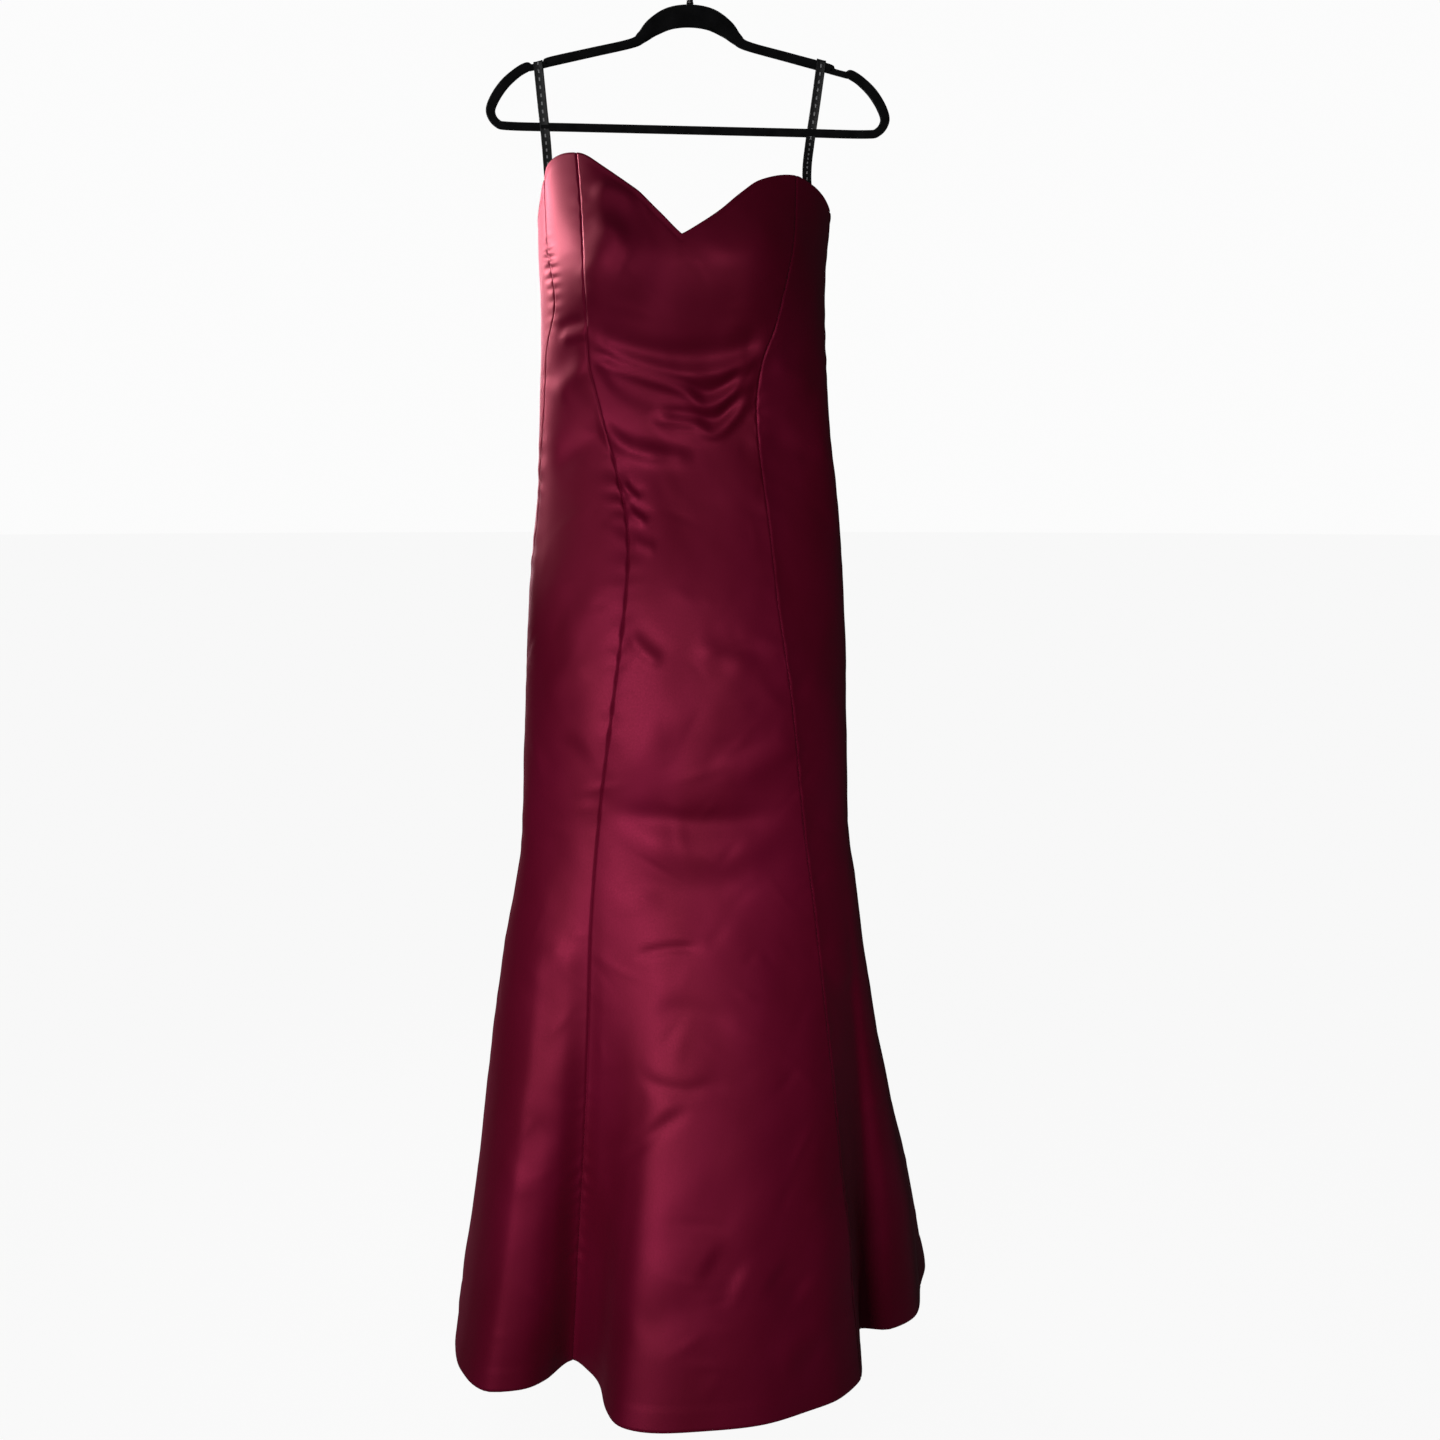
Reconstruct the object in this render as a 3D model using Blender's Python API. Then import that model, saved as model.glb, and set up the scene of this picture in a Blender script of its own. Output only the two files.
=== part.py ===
"""Strapless mermaid dress with a sweetheart neck, hung by two ribbon loops on a slim hanger.

Metres, +Z up. The origin is the inner top of the hook, where a rail carries it. The dress faces
-Y, so the wearer's right is at -X. Every cloth panel is a thin wall between two seams. A place
round the dress is its girth: the whole number is the seam that a panel starts at, and the rest is
the share of that panel. A bearing is the angle from the front centre, growing towards +X.
"""
import bisect
import math

import bmesh
import bpy
from mathutils import Matrix, Vector

# Cloth
WALL = 0.002
PROBE_GIRTH = 0.02
PROBE_Z = 0.004
SEAM_GAP = 0.00032
CLOTH_X = -0.0045
HEM_Z = -1.661
KNEE_Z = -1.020
FOLD_POWER = 1.6

# Half widths to the wearer's right and left, depths to front and back, squareness of the section
SECTIONS = (
    # z, right, left, front, back, squareness
    (-0.250, 0.161, 0.156, 0.080, 0.083, 2.15),
    (-0.300, 0.164, 0.160, 0.091, 0.086, 2.15),
    (-0.368, 0.164, 0.157, 0.106, 0.090, 2.20),
    (-0.451, 0.164, 0.157, 0.082, 0.079, 2.20),
    (-0.550, 0.167, 0.165, 0.054, 0.057, 2.20),
    (-0.625, 0.171, 0.174, 0.065, 0.068, 2.20),
    (-0.740, 0.181, 0.182, 0.094, 0.094, 2.20),
    (-0.880, 0.188, 0.187, 0.105, 0.112, 2.20),
    (-0.990, 0.192, 0.190, 0.094, 0.109, 2.20),
    (-1.024, 0.194, 0.193, 0.093, 0.109, 2.20),
    (-1.060, 0.200, 0.199, 0.095, 0.114, 2.20),
    (-1.171, 0.220, 0.214, 0.107, 0.133, 2.20),
    (-1.321, 0.240, 0.240, 0.125, 0.165, 2.20),
    (-1.475, 0.260, 0.270, 0.143, 0.200, 2.15),
    (-1.661, 0.288, 0.290, 0.160, 0.245, 2.10),
)

# Distance of the two front princess seams from the middle
FRONT_SEAMS = (
    # z, right, left
    (-0.250, 0.118, 0.119),
    (-0.310, 0.112, 0.118),
    (-0.362, 0.109, 0.114),
    (-0.412, 0.108, 0.104),
    (-0.443, 0.107, 0.096),
    (-0.474, 0.106, 0.084),
    (-0.516, 0.097, 0.078),
    (-0.559, 0.086, 0.080),
    (-0.603, 0.075, 0.085),
    (-0.647, 0.066, 0.091),
    (-0.690, 0.064, 0.096),
    (-0.745, 0.068, 0.102),
    (-0.856, 0.082, 0.118),
    (-0.970, 0.097, 0.130),
    (-1.096, 0.108, 0.146),
    (-1.231, 0.112, 0.161),
    (-1.356, 0.117, 0.174),
    (-1.482, 0.124, 0.187),
    (-1.661, 0.134, 0.206),
)

# Bearings of the other seams in degrees
BACK_SEAMS = (
    # z, side left, back left, centre back, back right, side right
    (-0.250, 80.0, 138.0, 180.0, 222.0, 288.0),
    (-0.343, 81.3, 138.9, 180.5, 222.0, 294.0),
    (-0.415, 82.5, 139.6, 180.8, 222.0, 302.0),
    (-0.467, 83.6, 140.3, 181.1, 221.9, 290.0),
    (-0.530, 86.0, 141.6, 181.5, 221.5, 286.0),
    (-0.600, 89.0, 143.0, 182.0, 221.0, 281.0),
    (-0.800, 95.0, 149.0, 186.0, 223.0, 276.0),
    (-1.030, 96.0, 149.0, 186.0, 223.0, 276.0),
    (-1.661, 98.0, 151.0, 188.0, 225.0, 277.0),
)

# Height of the top edge round the dress: the sweetheart, the sides and the lower back
V_SHARE = 0.461
TOP_EDGE = (
    # girth, z
    (0.000, -0.2565),
    (0.055, -0.2600),
    (0.109, -0.2680),
    (0.278, -0.2980),
    (0.370, -0.3220),
    (V_SHARE, -0.3480),
    (0.609, -0.3220),
    (0.704, -0.3030),
    (0.791, -0.2890),
    (0.948, -0.2810),
    (1.220, -0.2850),
    (1.500, -0.2920),
    (1.900, -0.3060),
    (2.200, -0.3190),
    (2.600, -0.3310),
    (3.000, -0.3390),
    (4.000, -0.3500),
    (5.000, -0.3420),
    (5.600, -0.3280),
    (5.850, -0.3030),
    (6.000, -0.2780),
    (6.180, -0.2640),
    (6.600, -0.2560),
    (7.000, -0.2565),
)

# The hem seen from above, as the photograph shows its front, with a plain hidden back
HEM_FOLDS = (
    # name, girth, x, y
    ("notch_at_right_seam", 0.000, -0.138, -0.031),
    ("notch_flank", 0.074, -0.115, -0.058),
    ("flank", 0.137, -0.102, -0.085),
    ("flank_front", 0.246, -0.091, -0.136),
    ("front_corner", 0.320, -0.075, -0.167),
    ("front_bow", 0.398, -0.040, -0.180),
    ("front_middle", 0.516, 0.016, -0.178),
    ("front_left", 0.661, 0.084, -0.165),
    ("front_turn", 0.800, 0.143, -0.136),
    ("front_end", 0.893, 0.180, -0.112),
    ("corner_at_left_seam", 1.000, 0.209, -0.070),
    ("step_back", 1.390, 0.217, 0.040),
    ("step_out", 1.530, 0.256, 0.040),
    ("left_bow", 1.720, 0.295, 0.074),
    ("left_side_seam", 2.000, 0.312, 0.150),
    ("left_side", 2.250, 0.326, 0.205),
    ("left_lobe", 2.600, 0.327, 0.280),
    ("left_lobe_back", 2.770, 0.303, 0.312),
    ("back_left_seam", 3.000, 0.250, 0.312),
    ("back_left_hollow", 3.360, 0.168, 0.286),
    ("back_left_bow", 3.720, 0.072, 0.296),
    ("centre_back", 4.000, -0.010, 0.306),
    ("back_right_hollow", 4.420, -0.118, 0.284),
    ("back_right_bow", 4.800, -0.200, 0.272),
    ("back_right_seam", 5.000, -0.240, 0.240),
    ("right_back_lobe", 5.330, -0.276, 0.196),
    ("right_side", 5.650, -0.298, 0.137),
    ("right_side_seam", 6.000, -0.292, 0.061),
    ("right_front_bow", 6.200, -0.285, 0.002),
    ("right_front", 6.390, -0.270, -0.053),
    ("right_lobe", 6.620, -0.236, -0.098),
    ("right_lobe_front", 6.720, -0.195, -0.095),
    ("notch_other_flank", 6.840, -0.168, -0.075),
)

# Cups that the princess seams shape
CUP_Z = -0.372
CUP_HEIGHT = 0.060
CUP_WIDTH = 0.052
CUP_RISE = 0.014
CUPS = (-0.092, 0.092)

# Soft folds that hang under the bust on the front panel, each a curve through three places
SWAGS = (
    # name, start x, start z, middle x, middle z, end x, end z, rise, half width
    ("under_bust", -0.104, -0.455, -0.010, -0.492, 0.080, -0.466, 0.006, 0.013),
    ("long_swag", -0.100, -0.474, 0.020, -0.524, 0.074, -0.498, 0.007, 0.012),
    ("short_swag", -0.040, -0.534, 0.020, -0.552, 0.066, -0.524, 0.005, 0.010),
    ("low_right", -0.094, -0.541, -0.058, -0.569, -0.018, -0.576, 0.005, 0.010),
)
SWAG_FADE = 0.022

PANELS = (
    # name, columns
    ("front_centre", 14),
    ("side_front_left", 9),
    ("side_back_left", 6),
    ("back_left", 6),
    ("back_right", 6),
    ("side_back_right", 6),
    ("side_front_right", 8),
)

# Rows of the walls, from the top edge to the hem
LEVEL_Z = -0.440
SWAG_END_Z = -0.600
ROWS_TO_LEVEL = 7
ROWS_OF_SWAGS = 10
ROWS_TO_HEM = 22

# Zip in the centre back seam
CENTRE_BACK = 4
TAPE_WIDTH = 0.024
TAPE_THICKNESS = 0.001
TAPE_GAP = 0.0005
TAPE_END_Z = -0.735
SLIDER_DROP = 0.011
SLIDER_SIZE = (0.0062, 0.0022, 0.0110)
CLEARANCE = 0.0003
HINGE_RISE = 0.0018
BAR_RADIUS = 0.0006
EYE_OUTER = 0.0014
EYE_INNER = 0.00095
EYE_LENGTH = 0.0032
EAR_THICKNESS = 0.0008
EAR_HALF_HEIGHT = 0.0012
PULL_LENGTH = 0.021
PULL_TOP_WIDTH = 0.0026
PULL_END_WIDTH = 0.0068
PULL_THICKNESS = 0.0010

# Hanger: half of its spine, mirrored, then tipped about the foot of the hook as the photograph shows
HANGER_THICKNESS = 0.006
HANGER_CHAMFER = 0.0015
HANGER_TIP = math.radians(1.3)
ARCH_Z = -0.0995
HANGER_SPINE = (
    # x, z, half height
    (0.000, ARCH_Z, 0.0120),
    (0.022, -0.1025, 0.0115),
    (0.040, -0.1120, 0.0095),
    (0.052, -0.1225, 0.0065),
    (0.064, -0.1295, 0.0050),
    (0.110, -0.1405, 0.0050),
    (0.154, -0.1510, 0.0050),
    (0.157, -0.1534, 0.0034),
    (0.174, -0.1574, 0.0034),
    (0.178, -0.1568, 0.0050),
    (0.189, -0.1630, 0.0052),
    (0.203, -0.1755, 0.0055),
    (0.214, -0.1915, 0.0055),
    (0.218, -0.2050, 0.0052),
    (0.211, -0.2165, 0.0046),
    (0.196, -0.2195, 0.0045),
    (0.130, -0.2195, 0.0045),
    (0.065, -0.2195, 0.0045),
    (0.000, -0.2195, 0.0045),
)
SPINE_STEPS = 2
SHOULDER_Z = -0.170

# Hook
WIRE_RADIUS = 0.002
HOOK_INNER_RADIUS = 0.020
HOOK_START = math.radians(225.0)
HOOK_END = math.radians(-15.0)
HOOK_ARC_STEPS = 22
STEM_TOP_Z = -0.058
STEM_PULL = 0.014
FERRULE_RADIUS = 0.004
FERRULE_HEIGHT = 0.009
WIRE_SIDES = 10

# Ribbon loops: over the arm, down both faces of the bar and sewn inside the bodice
RIBBON_WIDTH = 0.010
RIBBON_THICKNESS = 0.001
RIBBON_GAP = 0.0004
BAR_UNDER_Z = -0.232
SEWN_LENGTH = 0.016
STRAND_HALF_GAP = 0.0011
NECK_TWIST = 0.2
ARM_SIDE_SHARE = 0.75
ARM_TURN_SIDE = 0.66
ARM_TURN_RISE = 0.97
LOOPS = (
    # name, x on the arm, x and y and z at the neck, girth and z of the sewn end
    ("hanger_loop_right", -0.1670, -0.1550, -0.022, -0.276, 6.10, -0.320),
    ("hanger_loop_left", 0.1445, 0.1270, -0.040, -0.274, 1.30, -0.322),
)

BURGUNDY = (0.130, 0.006, 0.030, 1.0)
BLACK = (0.012, 0.012, 0.013, 1.0)
STEEL = (0.30, 0.29, 0.29, 1.0)


def smooth(share):
    """Eased share between 0 and 1."""
    share = min(max(share, 0.0), 1.0)
    return share * share * (3.0 - 2.0 * share)


def along(rows, place, column):
    """Value of a column at a place in a table whose first column grows or falls throughout."""
    sign = 1.0 if rows[-1][0] > rows[0][0] else -1.0
    keys = [sign * row[0] for row in rows]
    at = sign * place
    upper = min(max(bisect.bisect_right(keys, at), 1), len(rows) - 1)
    lower = upper - 1
    span = keys[upper] - keys[lower]
    share = min(max((at - keys[lower]) / span, 0.0), 1.0)
    start, end = rows[lower][column], rows[upper][column]
    before, after = max(lower - 1, 0), min(upper + 1, len(rows) - 1)
    start_slope = (end - rows[before][column]) / (keys[upper] - keys[before])
    end_slope = (rows[after][column] - start) / (keys[after] - keys[lower])
    square, cube = share * share, share * share * share
    return (
        start * (2 * cube - 3 * square + 1)
        + start_slope * span * (cube - 2 * square + share)
        + end * (3 * square - 2 * cube)
        + end_slope * span * (cube - square)
    )


def straight(rows, place, column):
    """The same with straight runs between the rows."""
    for lower, upper in zip(rows, rows[1:]):
        if lower[0] <= place <= upper[0]:
            share = (place - lower[0]) / (upper[0] - lower[0])
            return lower[column] + (upper[column] - lower[column]) * share
    return rows[-1][column]


def signed_power(value, power):
    return math.copysign(abs(value) ** power, value)


def section_at(z):
    """Middle, half width, front, back and power of the section at a height."""
    right = along(SECTIONS, z, 1)
    left = along(SECTIONS, z, 2)
    middle = (left - right) / 2.0
    half = (left + right) / 2.0
    return middle, half, along(SECTIONS, z, 3), along(SECTIONS, z, 4), 2.0 / along(SECTIONS, z, 5)


def seam_bearings(z):
    """Bearings of the eight seams, the first one again at the end, in radians."""
    middle, half, _, _, power = section_at(z)
    right = math.asin(((along(FRONT_SEAMS, z, 1) + middle) / half) ** (1.0 / power))
    left = math.asin(((along(FRONT_SEAMS, z, 2) - middle) / half) ** (1.0 / power))
    others = [math.radians(along(BACK_SEAMS, z, column)) for column in range(1, 6)]
    return [-right, left, *others, math.tau - right]


def bearing_at(girth, z):
    seams = seam_bearings(z)
    start = min(int(girth), len(PANELS) - 1)
    return seams[start] + (seams[start + 1] - seams[start]) * (girth - start)


def base_point(girth, z):
    """Place on the plain body of the dress, before its cups and folds."""
    middle, half, front, back, power = section_at(z)
    bearing = bearing_at(girth, z)
    across = math.sin(bearing)
    forward = math.cos(bearing)
    depth = front if forward > 0.0 else back
    return Vector((middle + half * signed_power(across, power), -depth * signed_power(forward, power), z))


def hem_point(girth):
    """Place on the hem, a closed smooth curve through its folds."""
    count = len(HEM_FOLDS)
    whole = float(len(PANELS))
    keys = [fold[1] for fold in HEM_FOLDS]
    lower = (bisect.bisect_right(keys, girth) - 1) % count
    rows = []
    for step in (-1, 0, 1, 2):
        fold = HEM_FOLDS[(lower + step) % count]
        turns = (lower + step) // count
        rows.append((fold[1] + whole * turns, fold[2], fold[3]))
    return along(rows, girth, 1), along(rows, girth, 2)


def fold_weight(z):
    """How far a height shares in the folds of the hem."""
    share = min(max((KNEE_Z - z) / (KNEE_Z - HEM_Z), 0.0), 1.0)
    return share ** FOLD_POWER


def swag_rise(x, z):
    """Height of the soft folds under the bust at a place on the front."""
    rise = 0.0
    for _, start_x, start_z, middle_x, middle_z, end_x, end_z, height, width in SWAGS:
        curve = (
            start_z * (x - middle_x) * (x - end_x) / ((start_x - middle_x) * (start_x - end_x))
            + middle_z * (x - start_x) * (x - end_x) / ((middle_x - start_x) * (middle_x - end_x))
            + end_z * (x - start_x) * (x - middle_x) / ((end_x - start_x) * (end_x - middle_x))
        )
        fade = smooth((x - start_x) / SWAG_FADE) * smooth((end_x - x) / SWAG_FADE)
        rise += height * fade * math.exp(-(((z - curve) / width) ** 2))
    return rise


def dress_point(girth, z):
    """Place on the outer face of the dress."""
    point = base_point(girth, z)
    forward = max(math.cos(bearing_at(girth, z)), 0.0)
    for cup_x in CUPS:
        away = ((point.x - cup_x) / CUP_WIDTH) ** 2 + ((z - CUP_Z) / CUP_HEIGHT) ** 2
        point.y -= CUP_RISE * smooth(2.0 * forward) * math.exp(-away)
    if girth <= 1.0:
        point.y -= swag_rise(point.x, z)
    weight = fold_weight(z)
    if weight > 0.0:
        hem_x, hem_y = hem_point(girth)
        plain = base_point(girth, HEM_Z)
        point.x += weight * (hem_x - plain.x)
        point.y += weight * (hem_y - plain.y)
    point.x += CLOTH_X
    return point


def row_heights(girth):
    """Heights of the wall's rows below one place on the top edge."""
    top = straight(TOP_EDGE, girth, 1)
    heights = [top + (LEVEL_Z - top) * row / ROWS_TO_LEVEL for row in range(ROWS_TO_LEVEL)]
    swag_span = SWAG_END_Z - LEVEL_Z
    heights += [LEVEL_Z + swag_span * row / ROWS_OF_SWAGS for row in range(ROWS_OF_SWAGS)]
    hem_span = HEM_Z - SWAG_END_Z
    heights += [SWAG_END_Z + hem_span * row / ROWS_TO_HEM for row in range(ROWS_TO_HEM + 1)]
    return heights


def panel_shares(panel, columns):
    """Shares of a panel's columns, with one of the front's columns at the point of the V."""
    if panel != 0:
        return [column / columns for column in range(columns + 1)]
    half = columns // 2
    shares = [V_SHARE * column / half for column in range(half)]
    return shares + [V_SHARE + (1.0 - V_SHARE) * column / half for column in range(half + 1)]


def dress_columns():
    """Girths of all columns of the dress, once round, and each panel's first column."""
    girths, starts = [], []
    for panel, (_, columns) in enumerate(PANELS):
        starts.append(len(girths))
        girths += [panel + share for share in panel_shares(panel, columns)[:-1]]
    return girths, starts


def dress_grid(girths):
    """Outer points, outward normals and crosswise directions, column by column."""
    points = [[dress_point(girth, z) for z in row_heights(girth)] for girth in girths]
    count = len(girths)
    normals, crosses = [], []
    for column in range(count):
        before, after = points[column - 1], points[(column + 1) % count]
        own = points[column]
        normal_column, cross_column = [], []
        for row, point in enumerate(own):
            down = (own[min(row + 1, len(own) - 1)] - own[max(row - 1, 0)]).normalized()
            turn = (after[row] - point).normalized() + (point - before[row]).normalized()
            normal = down.cross(turn).normalized()
            normal_column.append(normal)
            cross_column.append(normal.cross(down).normalized())
        normals.append(normal_column)
        crosses.append(cross_column)
    return points, normals, crosses


def material(name, colour, roughness, metallic):
    made = bpy.data.materials.new(name)
    made.use_nodes = True
    shader = made.node_tree.nodes["Principled BSDF"]
    shader.inputs["Base Color"].default_value = colour
    shader.inputs["Roughness"].default_value = roughness
    shader.inputs["Metallic"].default_value = metallic
    return made


def new_object(name, mesh, finish, smooth_angle=None):
    if smooth_angle is not None:
        mesh.shade_smooth()
        mesh.set_sharp_from_angle(angle=math.radians(smooth_angle))
    made = bpy.data.objects.new(name, mesh)
    mesh.materials.append(material(name + "_finish", *finish))
    bpy.context.collection.objects.link(made)
    return made


def closed_mesh(name, vertices, faces):
    """Mesh of the given faces, turned so that they all point out."""
    mesh = bpy.data.meshes.new(name)
    mesh.from_pydata([tuple(vertex) for vertex in vertices], [], faces)
    shape = bmesh.new()
    shape.from_mesh(mesh)
    bmesh.ops.recalc_face_normals(shape, faces=shape.faces)
    shape.to_mesh(mesh)
    shape.free()
    return mesh


def add_wall(name, outer, inner, finish):
    """Closed wall between two grids of the same size, each a list of columns of points."""
    columns, rows = len(outer), len(outer[0])
    vertices = [point for grid in (outer, inner) for column in grid for point in column]
    offset = columns * rows
    faces = []
    for column in range(columns - 1):
        for row in range(rows - 1):
            corner = column * rows + row
            quad = (corner, corner + 1, corner + rows + 1, corner + rows)
            faces.append(quad)
            faces.append(tuple(offset + index for index in reversed(quad)))
    border = list(range(rows))
    border += [column * rows + rows - 1 for column in range(1, columns)]
    border += [(columns - 1) * rows + row for row in range(rows - 2, -1, -1)]
    border += [column * rows for column in range(columns - 2, 0, -1)]
    for start, end in zip(border, border[1:] + border[:1]):
        faces.append((start, offset + start, offset + end, end))
    return new_object(name, closed_mesh(name, vertices, faces), finish, 40.0)


def add_sweep(name, rings, finish, closed=False):
    """Closed solid through rings of the same number of points."""
    sides = len(rings[0])
    vertices = [point for ring in rings for point in ring]
    faces = []
    spans = len(rings) if closed else len(rings) - 1
    for ring in range(spans):
        start, end = ring * sides, ((ring + 1) % len(rings)) * sides
        for side in range(sides):
            following = (side + 1) % sides
            faces.append((start + side, start + following, end + following, end + side))
    if not closed:
        faces.append(tuple(range(sides - 1, -1, -1)))
        faces.append(tuple(range((len(rings) - 1) * sides, len(rings) * sides)))
    return new_object(name, closed_mesh(name, vertices, faces), finish, 40.0)


def build_panels():
    """The seven cloth panels, parted by a fine gap at each seam."""
    girths, starts = dress_columns()
    points, normals, crosses = dress_grid(girths)
    count = len(girths)
    for panel, (name, columns) in enumerate(PANELS):
        outer, inner = [], []
        for step in range(columns + 1):
            column = (starts[panel] + step) % count
            shift = 0.0
            if step == 0:
                shift = SEAM_GAP / 2.0
            elif step == columns:
                shift = -SEAM_GAP / 2.0
            outer_column, inner_column = [], []
            for point, normal, cross in zip(points[column], normals[column], crosses[column]):
                moved = point + cross * shift
                outer_column.append(moved)
                inner_column.append(moved - normal * WALL)
            outer.append(outer_column)
            inner.append(inner_column)
        add_wall(name, outer, inner, (BURGUNDY, 0.35, 0.0))


def surface_frame(girth, z):
    """Outer point, outward normal, and the directions along the girth and down, at a place."""
    point = dress_point(girth, z)
    around = (dress_point(girth + PROBE_GIRTH, z) - dress_point(girth - PROBE_GIRTH, z)).normalized()
    down = (dress_point(girth, z - PROBE_Z) - dress_point(girth, z + PROBE_Z)).normalized()
    normal = down.cross(around).normalized()
    return point, normal, normal.cross(down), down


def build_zip_tape():
    """Tape behind the centre back seam, on the inner face of both back panels."""
    heights = [z for z in row_heights(CENTRE_BACK) if z >= TAPE_END_Z]
    outer, inner = [], []
    for side in (-1.0, 0.0, 1.0):
        outer_column, inner_column = [], []
        for z in heights:
            point, normal, around, _ = surface_frame(CENTRE_BACK, z)
            flat = point + around * side * TAPE_WIDTH / 2.0
            nearest = base_edge(point, normal, around, side, z)
            flat -= normal * (WALL + TAPE_GAP + nearest)
            outer_column.append(flat)
            inner_column.append(flat - normal * TAPE_THICKNESS)
        outer.append(outer_column)
        inner.append(inner_column)
    add_wall("zip_tape", outer, inner, (BURGUNDY, 0.6, 0.0))


def base_edge(point, normal, around, side, z):
    """How far the wall has curved away inwards at the edge of the tape."""
    if side == 0.0:
        return 0.0
    reach = (dress_point(CENTRE_BACK + side * PROBE_GIRTH, z) - point).length
    edge = dress_point(CENTRE_BACK + side * PROBE_GIRTH * TAPE_WIDTH / 2.0 / reach, z)
    return max((point - edge).dot(normal), 0.0)


def slider_place():
    """World matrix of the slider: X level, +Y out of the cloth and -Z down it, and its hinge's place."""
    z = straight(TOP_EDGE, CENTRE_BACK, 1) - SLIDER_DROP
    point, normal, _, _ = surface_frame(CENTRE_BACK, z)
    across = Vector((1.0, 0.0, 0.0))
    normal = (normal - across * normal.x).normalized()
    frame = Matrix((across, normal, across.cross(normal))).transposed().to_4x4()
    centre = point + normal * (CLEARANCE + SLIDER_SIZE[1] / 2.0)
    frame.translation = centre
    hinge = centre + normal * (SLIDER_SIZE[1] / 2.0 + HINGE_RISE)
    return frame, hinge


def box_mesh(name, size, centre=(0.0, 0.0, 0.0)):
    shape = bmesh.new()
    bmesh.ops.create_cube(shape, size=1.0)
    placing = Matrix.Translation(centre) @ Matrix.Diagonal((*size, 1.0))
    bmesh.ops.transform(shape, matrix=placing, verts=shape.verts)
    mesh = bpy.data.meshes.new(name)
    shape.to_mesh(mesh)
    shape.free()
    return mesh


def rod_mesh(name, radius, length, centre, sides=16):
    """Cylinder along X."""
    shape = bmesh.new()
    bmesh.ops.create_cone(
        shape, cap_ends=True, segments=sides, radius1=radius, radius2=radius, depth=length,
        matrix=Matrix.Translation(centre) @ Matrix.Rotation(math.pi / 2.0, 4, "Y"),
    )
    mesh = bpy.data.meshes.new(name)
    shape.to_mesh(mesh)
    shape.free()
    return mesh


def helper(name, mesh, place):
    made = bpy.data.objects.new(name, mesh)
    made.matrix_world = place
    made.hide_render = True
    made.display_type = "WIRE"
    bpy.context.collection.objects.link(made)
    return made


def cut(target, tool, operation):
    modifier = target.modifiers.new(operation.title(), "BOOLEAN")
    modifier.operation = operation
    modifier.object = tool


def build_slider():
    """Slider body with two ears and the bar that the pull hangs on."""
    place, hinge = slider_place()
    slider = new_object("zip_slider", box_mesh("zip_slider", SLIDER_SIZE), (STEEL, 0.35, 1.0))
    slider.matrix_world = place
    ear_out = SLIDER_SIZE[1] / 2.0 + HINGE_RISE + EAR_HALF_HEIGHT
    ear_x = EYE_LENGTH / 2.0 + CLEARANCE + 0.0001 + EAR_THICKNESS / 2.0
    for side in (-1.0, 1.0):
        ear_size = (EAR_THICKNESS, ear_out, 2.0 * EAR_HALF_HEIGHT)
        ear = box_mesh("ear", ear_size, (side * ear_x, ear_out / 2.0, 0.0))
        cut(slider, helper("slider_ear", ear, place), "UNION")
    bar_length = 2.0 * ear_x
    bar_centre = (0.0, SLIDER_SIZE[1] / 2.0 + HINGE_RISE, 0.0)
    cut(slider, helper("slider_bar", rod_mesh("bar", BAR_RADIUS, bar_length, bar_centre, 12), place), "UNION")
    return hinge


def build_pull(hinge):
    """Pull tab: an eye round the slider's bar and a tapering plate with a round end."""
    vertices = []
    outline = [(-PULL_TOP_WIDTH / 2.0, -EYE_INNER - 0.0002)]
    end_radius = PULL_END_WIDTH / 2.0
    end_z = -(PULL_LENGTH - end_radius)
    steps = 12
    turns = [math.pi * step / steps for step in range(steps + 1)]
    outline += [(-end_radius * math.cos(turn), end_z - end_radius * math.sin(turn)) for turn in turns]
    outline.append((PULL_TOP_WIDTH / 2.0, -EYE_INNER - 0.0002))
    for y in (-PULL_THICKNESS / 2.0, PULL_THICKNESS / 2.0):
        vertices += [Vector((x, y, z)) for x, z in outline]
    count = len(outline)
    faces = [tuple(range(count)), tuple(range(2 * count - 1, count - 1, -1))]
    faces += [(side, (side + 1) % count, count + (side + 1) % count, count + side) for side in range(count)]
    plate = closed_mesh("zip_pull", vertices, faces)
    pull = new_object("zip_pull", plate, (STEEL, 0.35, 1.0))
    pull.location = hinge
    at_hinge = Matrix.Translation(hinge)
    centre = (0.0, 0.0, 0.0)
    cut(pull, helper("pull_eye", rod_mesh("eye", EYE_OUTER, EYE_LENGTH, centre), at_hinge), "UNION")
    bore = rod_mesh("bore", EYE_INNER, EYE_LENGTH * 2.0, centre)
    cut(pull, helper("pull_bore", bore, at_hinge), "DIFFERENCE")


def tip(x, z):
    """Tips a place on the hanger about the foot of the hook."""
    offset = z - ARCH_Z
    return (
        x * math.cos(HANGER_TIP) + offset * math.sin(HANGER_TIP),
        ARCH_Z - x * math.sin(HANGER_TIP) + offset * math.cos(HANGER_TIP),
    )


def hanger_spine():
    """Closed smooth spine of the hanger before it is tipped: x, z and half height."""
    half = list(HANGER_SPINE)
    left = [(-x, z, height) for x, z, height in reversed(half[1:-1])]
    ring = half + left
    count = len(ring)
    spine = []
    for index in range(count):
        near = [ring[(index + step) % count] for step in (-1, 0, 1, 2)]
        rows = [(float(step), *values) for step, values in zip((-1, 0, 1, 2), near)]
        for part in range(SPINE_STEPS):
            share = part / SPINE_STEPS
            spine.append(tuple(along(rows, share, column) for column in (1, 2, 3)))
    return spine


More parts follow.
